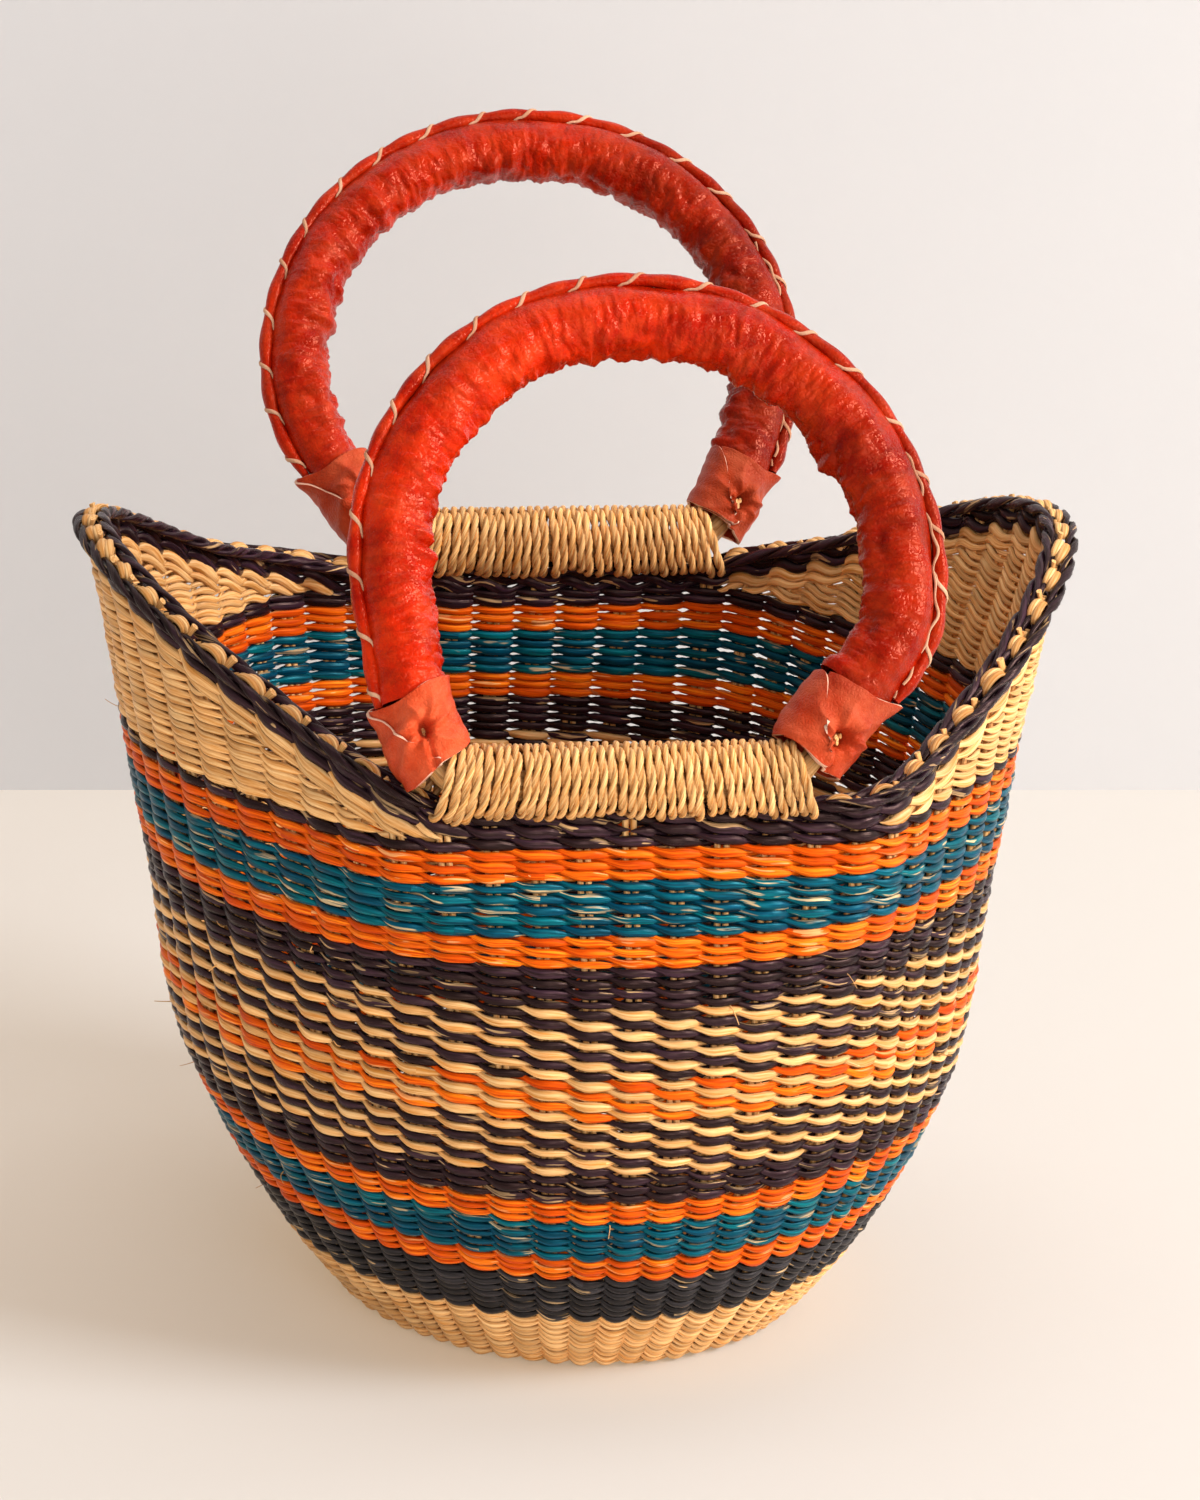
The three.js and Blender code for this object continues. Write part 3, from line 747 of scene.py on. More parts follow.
def fibre_group() -> Tree:
    """A shader group of straw's fine lines: a tone mask, a patch mask and a height."""
    sizes = {"Lines": 2.2, "Length": 70.0, "Patch length": 60.0}
    results = {"Tone": "Float", "Patch": "Float", "Height": "Float"}
    nodes, given, output = start_tree("straw fibre", "Shader", sizes, results)
    around, aside, along = nodes.parts(nodes.attribute("fibre", "Vector"))
    drift = nodes.times(nodes.attribute("shade"), 37.0)

    def stretched(lines: object, length: object, detail: float) -> Socket:
        """Noise drawn out along the straw."""
        across = nodes.math("MULTIPLY_ADD", around, lines, drift)
        place = nodes.xyz(across, nodes.times(aside, lines), nodes.times(along, length))
        return nodes.noise(place, 1.0, detail, 0.6)

    lines = stretched(given["Lines"], given["Length"], 4.0)
    patch = stretched(0.6, given["Patch length"], 2.0)
    nodes.feed(output.inputs["Tone"], nodes.spread(lines, 0.36, 0.64))
    nodes.feed(output.inputs["Patch"], nodes.spread(patch, 0.35, 0.65))
    nodes.feed(output.inputs["Height"], lines)
    return nodes.tree


def hide_group() -> Tree:
    """A shader group of leather: a stain mask, a scuff mask and a grain height."""
    sizes = {"Grain size": 900.0, "Stain size": 38.0, "Crackle": 0.5}
    results = {"Stain": "Float", "Scuff": "Float", "Height": "Float"}
    nodes, given, output = start_tree("goatskin", "Shader", sizes, results)
    place = nodes.add("ShaderNodeTexCoord").outputs["Object"]
    stain = nodes.noise(place, given["Stain size"], 4.0, 0.6)
    scuff = nodes.noise(place, nodes.times(given["Stain size"], 3.1), 5.0, 0.7)
    inputs = {"Vector": place, "Scale": given["Grain size"]}
    cells = nodes.add("ShaderNodeTexVoronoi", inputs, feature="DISTANCE_TO_EDGE").outputs[0]
    pebble = nodes.spread(cells, 0.0, 0.25)
    cracks = nodes.noise(place, nodes.times(given["Grain size"], 0.32), 5.0, 0.65)
    rough = nodes.times(cracks, given["Crackle"])
    nodes.feed(output.inputs["Stain"], nodes.spread(stain, 0.36, 0.66))
    nodes.feed(output.inputs["Scuff"], nodes.spread(scuff, 0.42, 0.72))
    nodes.feed(output.inputs["Height"], nodes.math("MULTIPLY_ADD", pebble, 0.35, rough))
    return nodes.tree


@dataclass
class Groups:
    """The shader groups that more than one finish uses, each built once."""

    fibre: Tree = field(default_factory=fibre_group)
    hide: Tree = field(default_factory=hide_group)


def start_material(name: str) -> tuple[Material, Nodes, Node]:
    """A new material, its node adder and its Principled surface."""
    material = bpy.data.materials.new(name)
    material.use_nodes = True
    return material, Nodes(material.node_tree), material.node_tree.nodes["Principled BSDF"]


@dataclass(frozen=True)
class Finish:
    """A finish: its name, how rough, bumpy and shiny it is, the shine's tint, the bumps' depth."""

    name: str
    roughness: float = 0.40
    bump: float = 0.45
    shine: float = 0.3
    veil: Colour = (1.0, 0.9, 0.75)
    depth: float = 0.0004

    def dress(self, surface: Node, nodes: Nodes, colour: Socket, gloss: Socket, height: Socket) -> None:
        """Feeds a Principled surface its colour, roughness and bump, and sets its shine."""
        inputs = {"Strength": self.bump, "Distance": self.depth, "Height": height}
        bump = nodes.add("ShaderNodeBump", inputs).outputs[0]
        for key, value in (("Base Color", colour), ("Roughness", gloss), ("Normal", bump)):
            nodes.feed(surface.inputs[key], value)
        surface.inputs["Specular IOR Level"].default_value = self.shine
        surface.inputs["Specular Tint"].default_value = (*self.veil, 1.0)


@dataclass(frozen=True, kw_only=True)
class StrawFinish(Finish):
    """Split straw: its plain colours, its dyed colours, its flecks, and painted shade that darkens each
    strand towards its side edges.
    """

    plain: Colour = (0.95, 0.59, 0.26)
    plain_dark: Colour = (0.62, 0.24, 0.042)
    dyed: Colour = (0.95, 0.59, 0.26)
    dyed_dark: Colour = (0.62, 0.24, 0.042)
    dyed_other: Colour = (0.95, 0.59, 0.26)
    fleck: float = 0.0
    # The tone at a strand's side edges: painted shade that stands for the gaps between strands.
    edge_tone: float = 0.7

    def material(self, groups: Groups) -> Material:
        """Builds the material.

        Args:
            groups: the shared shader groups.

        Returns:
            The material.
        """
        material, nodes, surface = start_material(self.name)
        inputs = {"Lines": 2.2, "Length": 70.0, "Patch length": 60.0}
        fibre = nodes.add("ShaderNodeGroup", inputs, node_tree=groups.fibre).outputs
        tone, patch = fibre["Tone"], fibre["Patch"]
        shade = nodes.attribute("shade")
        plain = nodes.colours(tone, self.plain_dark, self.plain)
        hue = nodes.math("ADD", nodes.times(shade, 0.7), nodes.times(patch, 0.6))
        full = nodes.colours(nodes.spread(hue, 0.3, 1.0), self.dyed, self.dyed_other)
        dyed = nodes.colours(tone, self.dyed_dark, full)
        if self.fleck:
            bare = nodes.spread(patch, 1.0 - self.fleck, 1.02 - self.fleck * 0.4, 0.0, 0.85)
            dyed = nodes.colours(nodes.times(bare, tone), dyed, self.plain)
        colour = nodes.colours(nodes.attribute("dye"), plain, dyed)
        aside = nodes.parts(nodes.attribute("fibre", "Vector"))[1]
        # Painted shade: each strand darkens towards its side edges, as if shaded in the gaps between
        # strands; lift carries it together with the strand's own random tone.
        edge = nodes.spread(nodes.math("ABSOLUTE", aside), 0.55, 1.0, 1.0, self.edge_tone)
        lift = nodes.times(nodes.math("MULTIPLY_ADD", shade, 0.35, 0.82), edge)
        gloss = nodes.math("MULTIPLY_ADD", tone, -0.12, self.roughness + 0.08)
        self.dress(surface, nodes, nodes.toned(colour, lift), gloss, fibre["Height"])
        return material


@dataclass(frozen=True, kw_only=True)
class LeatherFinish(Finish):
    """Dyed goatskin: a base colour, a darker stain, a paler scuff, its grain, and painted shade in thin
    crease lines.

    It is darker on the right of the basket and at the back, by right_tone and back_tone.
    """

    base: Colour
    stain: Colour
    scuff: Colour
    bump: float = 0.3
    shine: float = 0.45
    veil: Colour = (1.0, 0.30, 0.17)
    scuff_share: float = 0.35
    depth: float = 0.0005
    grain: float = 900.0
    # How dark the thin crease lines are: painted shade standing for shade in the creases.
    creases: float = 0.0
    right_tone: float = 1.0
    back_tone: float = 1.0

    def material(self, groups: Groups) -> Material:
        """Builds the material.

        Args:
            groups: the shared shader groups.

        Returns:
            The material.
        """
        material, nodes, surface = start_material(self.name)
        inputs = {"Grain size": self.grain, "Stain size": 38.0, "Crackle": 0.5}
        hide = nodes.add("ShaderNodeGroup", inputs, node_tree=groups.hide).outputs
        stained = nodes.colours(hide["Stain"], self.stain, self.base)
        colour = nodes.colours(nodes.times(hide["Scuff"], self.scuff_share), stained, self.scuff)
        across, deep, _ = nodes.parts(nodes.add("ShaderNodeTexCoord").outputs["Object"])
        right = nodes.spread(across, 0.015, 0.06, 1.0, self.right_tone)
        back = nodes.spread(deep, 0.06, 0.11, 1.0, self.back_tone)
        tone = nodes.times(right, back)
        # Painted shade in thin lines across the tube, standing for shade in its creases.
        if self.creases:
            tone = nodes.times(tone, self._crease_tone(nodes))
        gloss = nodes.math("MULTIPLY_ADD", hide["Scuff"], 0.2, self.roughness)
        self.dress(surface, nodes, nodes.toned(colour, tone), gloss, hide["Height"])
        return material

    def _crease_tone(self, nodes: Nodes) -> Socket:
        """Painted shade: a tone that falls in thin crease lines across a tube, from its fibre coordinates.
        """
        inputs = {0: nodes.attribute("fibre", "Vector"), 1: (0.7, 0.7, 190.0)}
        place = nodes.add("ShaderNodeVectorMath", inputs, operation="MULTIPLY").outputs[0]
        away = nodes.math("ABSOLUTE", nodes.math("SUBTRACT", nodes.noise(place, 1.0, 3.0), 0.5))
        return nodes.spread(away, 0.0, 0.07, 1.0 - self.creases, 1.0)


@dataclass(frozen=True)
class Palette:
    """Every finish of the basket."""

    natural: StrawFinish = StrawFinish("natural straw")
    navy: StrawFinish = StrawFinish(
        "black-violet straw",
        dyed=(0.014, 0.006, 0.008),
        dyed_dark=(0.003, 0.001, 0.0015),
        dyed_other=(0.046, 0.020, 0.034),
        fleck=0.03,
        roughness=0.26,
        veil=(1.0, 0.60, 0.52),
        edge_tone=0.5,
    )
    black: StrawFinish = StrawFinish(
        "black straw",
        dyed=(0.018, 0.016, 0.017),
        dyed_dark=(0.004, 0.004, 0.004),
        dyed_other=(0.045, 0.040, 0.046),
        fleck=0.03,
        roughness=0.32,
        shine=0.22,
        veil=(1.0, 0.85, 0.8),
        edge_tone=0.5,
    )
    orange: StrawFinish = StrawFinish(
        "orange straw",
        dyed=(0.98, 0.116, 0.003),
        dyed_dark=(0.50, 0.036, 0.0005),
        dyed_other=(0.98, 0.250, 0.010),
        fleck=0.03,
        veil=(1.0, 0.42, 0.12),
    )
    teal: StrawFinish = StrawFinish(
        "teal straw",
        dyed=(0.0005, 0.076, 0.150),
        dyed_dark=(0.0002, 0.014, 0.030),
        dyed_other=(0.0005, 0.150, 0.170),
        fleck=0.10,
        roughness=0.30,
        shine=0.4,
        veil=(0.16, 0.80, 1.0),
        edge_tone=0.45,
    )
    leather: LeatherFinish = LeatherFinish(
        "red goatskin",
        roughness=0.24,
        base=(0.60, 0.018, 0.001),
        stain=(0.30, 0.003, 0.0003),
        scuff=(0.80, 0.080, 0.010),
        bump=0.42,
        grain=700.0,
        shine=0.42,
        creases=0.22,
        right_tone=0.64,
        back_tone=0.80,
    )
    cuff: LeatherFinish = LeatherFinish(
        "cuff goatskin",
        roughness=0.42,
        base=(0.57, 0.058, 0.014),
        stain=(0.34, 0.018, 0.004),
        scuff=(0.86, 0.20, 0.085),
        bump=0.5,
        right_tone=0.74,
        back_tone=0.85,
    )
    cut_edge: LeatherFinish = LeatherFinish(
        "cut leather edge",
        roughness=0.8,
        base=(0.80, 0.50, 0.36),
        stain=(0.62, 0.33, 0.22),
        scuff=(0.90, 0.70, 0.56),
    )
    thong: LeatherFinish = LeatherFinish(
        "lacing thong",
        roughness=0.7,
        base=(0.62, 0.36, 0.22),
        stain=(0.40, 0.17, 0.09),
        scuff=(0.78, 0.56, 0.40),
    )


class Materials:
    """The built materials, by their finish's name in the palette."""

    def __init__(self, palette: Palette) -> None:
        """Builds every material."""
        groups = Groups()
        for part in fields(palette):
            setattr(self, part.name, getattr(palette, part.name).material(groups))


@dataclass
class Maker:
    """Makes pieces out of the basket's materials, trees and shapes, and fixes them on bodies."""

    materials: Materials
    trees: Trees
    wall: Wall
    mouth: Mouth
    plan: StakePlan
    bar_x: dict[Body, float]
    seed: int = 0

    @cached_property
    def rng(self) -> Random:
        """The source of the small differences between straws."""
        return np.random.default_rng(self.seed)

    def straws(
        self,
        name: str,
        strands: list[Strand],
        finish: str = "natural",
        sides: int = 8,
        flatness: float = 0.6,
    ) -> Object:
        """Sweeps straws along strands.

        Args:
            name: the piece's name.
            strands: the strands.
            finish: their finish's name in the palette.
            sides: sides of a straw's section.
            flatness: thickness of a straw as a share of its width.

        Returns:
            The mesh object.
        """
        values = {"Sides": sides, "Flatness": flatness, "Caps": True}
        values["Material"] = getattr(self.materials, finish)
        return grown(strands_guide(name, strands), self.trees.straw, values)

    def fix(self, piece: Object, slot: str, *nodes: str, body: Body = Body.BASKET) -> None:
        """Fixes a piece on a body, in place of CAD nodes.

        Args:
            piece: the piece.
            slot: the record's material slot; not used.
            nodes: the CAD nodes that it stands for.
            body: the body that it moves with.
        """
        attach(piece, body.value)
        if nodes:
            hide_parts(*nodes)
        log.info("%s: %d faces on %s", piece.name, len(piece.data.polygons), body.value)


# The woven parts


@dataclass(frozen=True)
class Twining:
    """How two strands of straw pass before and behind the stakes.

    Lengths along the wall are shares of the row's pitch; loose_ values hold where gaps stay open.
    """

    steps_per_stake: int = 8
    swing: float = 1.5
    lift: float = 0.30
    rest: float = 0.4
    twist: float = 0.15
    half_width: float = 0.49
    pinch: float = 0.45
    power: float = 0.7
    dwell: float = 0.8
    droop: float = 1.3
    belly: float = 0.2
    loose_lift: float = 0.13
    loose_pinch: float = 0.52
    loose_power: float = 0.30
    width_spread: float = 0.10
    height_spread: float = 0.16
    depth_spread: float = 0.12
    usual_pitch: float = 2.7
    tip: float = 0.12
    taper: float = 0.6

    def strand(
        self,
        surface: Wall | Base,
        angle_of: Callable[[Array], Array],
        numbers: Array,
        heights: Numbers,
        pitch: Numbers,
        turn: int,
        rng: Random,
        dye: Dye = Dye.PLAIN,
        closed: bool = False,
        loose: Numbers = 0.0,
    ) -> Strand:
        """One strand of a row.

        Args:
            surface: the wall or the base.
            angle_of: turns stake numbers into angles.
            numbers: stake numbers at the strand's points.
            heights: the row's height at them, along the surface.
            pitch: the distance between rows at them.
            turn: 0 for the strand outside even stakes, 1 for the other.
            rng: the source of the small differences between strokes.
            dye: whether it is dyed.
            closed: whether the strand joins its own start.
            loose: how far gaps stay open between the rows, from 0 to 1.

        Returns:
            The strand.
        """
        stroke = np.arange(math.floor(numbers[0]) - 1, math.ceil(numbers[-1]) + 2)

        def uneven(spread: float) -> Array:
            """Small differences from stroke to stroke."""
            return np.interp(numbers, stroke, rng.normal(0.0, spread, len(stroke)))

        phase = np.pi * (numbers - turn)
        sag = mix(self.lift, self.loose_lift, loose) * (self.rest - np.cos(phase - self.droop))
        sag = sag + mix(self.twist, 0.0, loose) * np.sin(2 * phase)
        wide, high, deep = (
            uneven(spread) for spread in (self.width_spread, self.height_spread, self.depth_spread)
        )
        height = heights + pitch * sag + high * pitch / self.usual_pitch
        swing = self.swing * signed_power(np.cos(phase), self.dwell)
        points = surface.point(angle_of(numbers), height, surface.thickness / 2 - swing + deep)
        tangents = path_tangents(points, closed)
        facing = squared_to(surface.outward(angle_of(numbers), heights), tangents)
        pinch = mix(self.pinch, self.loose_pinch, loose)
        thick = np.abs(np.cos(phase - mix(self.belly, 0.0, loose)))
        narrow = pinch + (1.0 - pinch) * thick ** mix(self.power, self.loose_power, loose)
        girth = pitch * self.half_width * narrow * (1.0 + wide)
        if not closed:
            ends = np.minimum(numbers - numbers[0], numbers[-1] - numbers)
            girth = girth * smoothstep(ends + self.tip, 0.0, self.taper)
        return Strand(points, facing, girth, rng.uniform(), dye, closed)

    def row(
        self,
        surface: Wall | Base,
        angle_of: Callable[[Array], Array],
        numbers: Array,
        heights: Numbers,
        pitch: Numbers,
        rng: Random,
        dye: Dye = Dye.PLAIN,
        closed: bool = False,
    ) -> list[Strand]:
        """Both strands of a row.

        Args:
            surface, angle_of, numbers, heights, pitch, rng, dye, closed: as for strand.

        Returns:
            The two strands.
        """
        return [
            self.strand(surface, angle_of, numbers, heights, pitch, turn, rng, dye, closed)
            for turn in (0, 1)
        ]


@dataclass(frozen=True)
class Band:
    """One colour of the wall: its CAD node, rows, height, slot, finish and the second strand."""

    node: str
    rows: int
    height: float
    slot: str
    finish: str
    second: Dye = Dye.DYED


BANDS = (
    Band("foot_natural", 10, 27.3, "straw_natural", "natural"),
    Band("band_black", 7, 19.8, "straw_navy", "black"),
    Band("band_orange_1", 3, 7.7, "straw_orange", "orange"),
    Band("band_teal_1", 5, 12.7, "straw_teal", "teal"),
    Band("band_orange_2", 3, 6.5, "straw_orange", "orange"),
    Band("band_navy_1", 3, 8.4, "straw_navy", "navy"),
    Band("band_navy_straw_1", 6, 15.9, "straw_navy_mixed", "navy", Dye.PLAIN),
    Band("band_orange_straw", 4, 11.5, "straw_orange_mixed", "orange", Dye.PLAIN),
    Band("band_navy_straw_2", 7, 19.5, "straw_navy_mixed", "navy", Dye.PLAIN),
    Band("band_navy_2", 4, 10.7, "straw_navy", "navy"),
    Band("band_orange_3", 3, 7.8, "straw_orange", "orange"),
    Band("band_teal_2", 5, 14.1, "straw_teal", "teal"),
    Band("band_orange_4", 3, 8.2, "straw_orange", "orange"),
    Band("shoulder_row", 1, 3.2, "straw_navy", "navy"),
)


@dataclass
class WovenWall(Maker):
    """The spiral of twined rows from the base to the shoulder."""

    twining: Twining = Twining()
    seam_stake: int = 17
    lowest: float = 1.4
    piece_strokes: int = 9
    plain_strand: int = 1
    finish_stakes: int = 25
    finish_pitch: float = 0.8
    loose_above: tuple[float, float] = (85.0, 112.0)
    loose_behind: tuple[float, float] = (-0.1, 0.4)
    seed: int = 41

    def _finish(self, numbers: Array) -> tuple[Array, Array]:
        """Heights and pitches of the part turn that fills up under the border."""
        below, pitch = self._heights(numbers - self.plan.stakes)
        above = self.wall.shoulder + BANDS[-1].height / 2
        return (below + above) / 2, pitch * self.finish_pitch

    def _heights(self, numbers: Array) -> tuple[Array, Array]:
        """Heights of the spiral's middle, and the row pitch, at stake numbers from its start.

        Args:
            numbers: stake numbers counted from the start of the first row.

        Returns:
            Heights and pitches in millimetres.
        """
        pitches = np.concatenate([np.full(b.rows, b.height / b.rows) for b in BANDS])
        tops = np.concatenate([[0.0], np.cumsum(pitches)])
        stakes = self.plan.stakes
        front = 1.0 - self.seam_stake / stakes
        turns = numbers / stakes + 0.5 - front
        height = np.interp(turns, np.arange(len(tops)), tops)
        row = np.clip(np.floor(numbers / stakes).astype(int), 0, len(pitches) - 1)
        return np.maximum(height, self.lowest), pitches[row]

    def _straws(
        self,
        start: int,
        end: int,
        turn: int,
        heights_of: Callable[[Array], tuple[Array, Array]],
        band: Band,
    ) -> list[Strand]:
        """One strand between two stake numbers, as single straws.

        Args:
            start: the first stake number from the seam.
            end: the last one.
            turn: which of the two strands.
            heights_of: gives heights and pitches at stake numbers.
            band: the band, for its dye.

        Returns:
            The straws.
        """
        steps = self.twining.steps_per_stake
        numbers = np.arange(start * steps, end * steps + 1) / steps
        heights, pitch = heights_of(numbers)

        def angle_of(number: Array) -> Array:
            """The angle of a stake number from the seam."""
            return self.plan.angle(number + self.seam_stake)

        backward = -np.cos(angle_of(numbers))
        loose = smoothstep(heights, *self.loose_above) * smoothstep(backward, *self.loose_behind)
        is_plain = turn == self.plain_strand and band.second is Dye.PLAIN
        dye = Dye.PLAIN if is_plain or band.finish == "natural" else Dye.DYED
        strand = self.twining.strand(
            self.wall, angle_of, numbers, heights, pitch, turn, self.rng, dye, loose=loose
        )
        return split_strand(strand, self.piece_strokes * 2 * steps, self.rng)

    def build(self) -> None:
        """Makes each band and puts it in place of its node."""
        start = 0
        for band in BANDS:
            end = start + band.rows * self.plan.stakes
            spans = [(start, end, self._heights)]
            if band is BANDS[-1]:
                spans.append((end, end + self.finish_stakes, self._finish))
            strands = []
            for low, high, heights_of in spans:
                for turn in (0, 1):
                    strands += self._straws(low, high, turn, heights_of, band)
            piece = self.straws(f"weave_{band.node}", strands, band.finish)
            self.fix(piece, band.slot, band.node)
            start = end


def split_strand(strand: Strand, length: int, rng: Random) -> list[Strand]:
    """Cuts a long strand into the lengths of single straws, which butt end to end.

    Args:
        strand: the long strand.
        length: points in a straw.
        rng: gives each straw its length and shade.

    Returns:
        The straws, in order.
    """
    straws = []
    last = len(strand.points) - 1
    start = 0
    while start < last:
        end = min(start + int(length * rng.uniform(0.6, 1.4)), last)
        if last - end < length // 3:
            end = last
        part = slice(start, end + 1)
        parts = (strand.points[part], strand.facing[part], strand.girth[part])
        straws.append(Strand(*parts, rng.uniform(), strand.dye))
        start = end
    return straws


@dataclass
class WovenBase(Maker):
    """The woven underside: rows that close in on a flat oval coil, with straws across its middle."""

    twining: Twining = Twining(steps_per_stake=6, swing=0.85, width_spread=0.07, height_spread=0.1)
    pitch: float = 2.75
    hub: float = 5.0
    hub_half_width: float = 1.55
    stroke: float = 7.6
    crossing_half: float = 20.0
    crossing_apart: float = 1.7
    crossing_half_width: float = 1.05
    crossing_wander: float = 0.12
    seed: int = 5

    def build(self) -> None:
        """Makes the base and puts it in place of its node."""
        base = Base(self.wall)
        reach = self.wall.base_half_width - self.hub
        strands = []
        for row in range(int(reach / self.pitch)):
            inwards = (row + 0.5) * self.pitch
            radius = self.wall.base_half_depth - inwards
            pairs = max(3, round(2 * math.pi * radius / self.stroke / 2))
            strands += self._ring(base, inwards, 2 * pairs)
        strands.append(self._hub_straw(base))
        strands += self._crossing(base)
        self.fix(self.straws("woven_base", strands, sides=7), "straw_natural", "base_disc")

    def _ring(self, base: Base, inwards: float, count: int) -> list[Strand]:
        """The two strands of one closed row.

        Args:
            base: the surface.
            inwards: the row's distance from the base's edge.
            count: stakes that the row passes, an even number.

        Returns:
            Two strands.
        """
        steps = self.twining.steps_per_stake
        numbers = np.arange(count * steps) / steps

        def angle_of(number: Array) -> Array:
            """The angle of a stake of this row."""
            return 2 * np.pi * number / count

        return self.twining.row(base, angle_of, numbers, inwards, self.pitch, self.rng, closed=True)

    def _crossing(self, base: Base) -> list[Strand]:
        """The first straws of the stakes, which lie side by side across the middle."""
        strands = []
        along = np.linspace(-1.0, 1.0, 12)
        level = base.lift + base.thickness / 2 + 0.1
        for place in np.arange(-3, 4) * self.crossing_apart:
            wander = place + self.crossing_wander * np.cumsum(self.rng.normal(0.0, 1.0, len(along)))
            points = xyz(wander, self.crossing_half * along, level)
            strands.append(straw(points, DOWN, self.crossing_half_width, self.rng.uniform()))
        return strands

    def _hub_straw(self, base: Base) -> Strand:
        """The flat oval coil of straw that closes the middle."""
        half = self.wall.base_half_width
        inwards = np.linspace(half - self.hub - 1.5, half - 0.4, 110)
        turns = 2.0 * np.pi * (inwards - inwards[0]) / self.pitch
        points = base.point(turns, inwards, base.thickness / 2)
        return straw(points, DOWN, self.hub_half_width, self.rng.uniform())


@dataclass
class Crescents(Maker):
    """The natural short rows that raise both ends of the mouth."""

    twining: Twining = Twining(half_width=0.54, lift=0.38, twist=0.2, width_spread=0.12)
    pitch: float = 2.3
    rim_pitches: tuple[float, ...] = (3.3, 2.6)
    row_margin: float = 0.2
    rim_margin: float = 0.35
    seed: int = 77

    def build(self) -> None:
        """Makes both crescents and puts them in place of their nodes."""
        half = self.plan.stakes / 2
        for number, name in enumerate(("crescent_right", "crescent_left")):
            rng = np.random.default_rng(self.seed + number)
            strands = self._strands(number * half, (number + 1) * half, rng)
            self.fix(self.straws(f"weave_{name}", strands), "straw_natural", name)

    def _strands(self, low: float, high: float, rng: Random) -> list[Strand]:
        """The strands of one crescent: rows along the shoulder, then rows along the rim.

        Args:
            low: the stake number where the crescent may start.
            high: the stake number where it must end.
            rng: the source of small differences.

        Returns:
            The strands.
        """
        steps = self.twining.steps_per_stake
        numbers = np.arange(round(low * steps), round(high * steps) + 1) / steps
        rise = self.mouth.rise(self.plan.angle(numbers))
        shoulder = self.wall.shoulder
        strands = []
        rim = sum(self.rim_pitches)
        for row in range(int((self.mouth.crescent_height - rim) / self.pitch) + 1):
            height = (row + 0.5) * self.pitch
            room = rise - rim * np.clip(rise / rim, 0, 1)
            keep = numbers[room > height - self.row_margin * self.pitch]
            strands += self._row(keep, shoulder + height, self.pitch, rng)
        down = 0.0
        for pitch in self.rim_pitches:
            inside = rise > down + self.rim_margin * pitch
            heights = shoulder + rise[inside] - down - 0.5 * pitch
            strands += self._row(numbers[inside], heights, pitch, rng)
            down += pitch
        return strands

    def _row(self, numbers: Array, heights: Numbers, pitch: float, rng: Random) -> list[Strand]:
        """The two strands of one short row, or nothing where it is too short."""
        if len(numbers) < self.twining.steps_per_stake:
            return []
        return self.twining.row(self.wall, self.plan.angle, numbers, heights, pitch, rng)


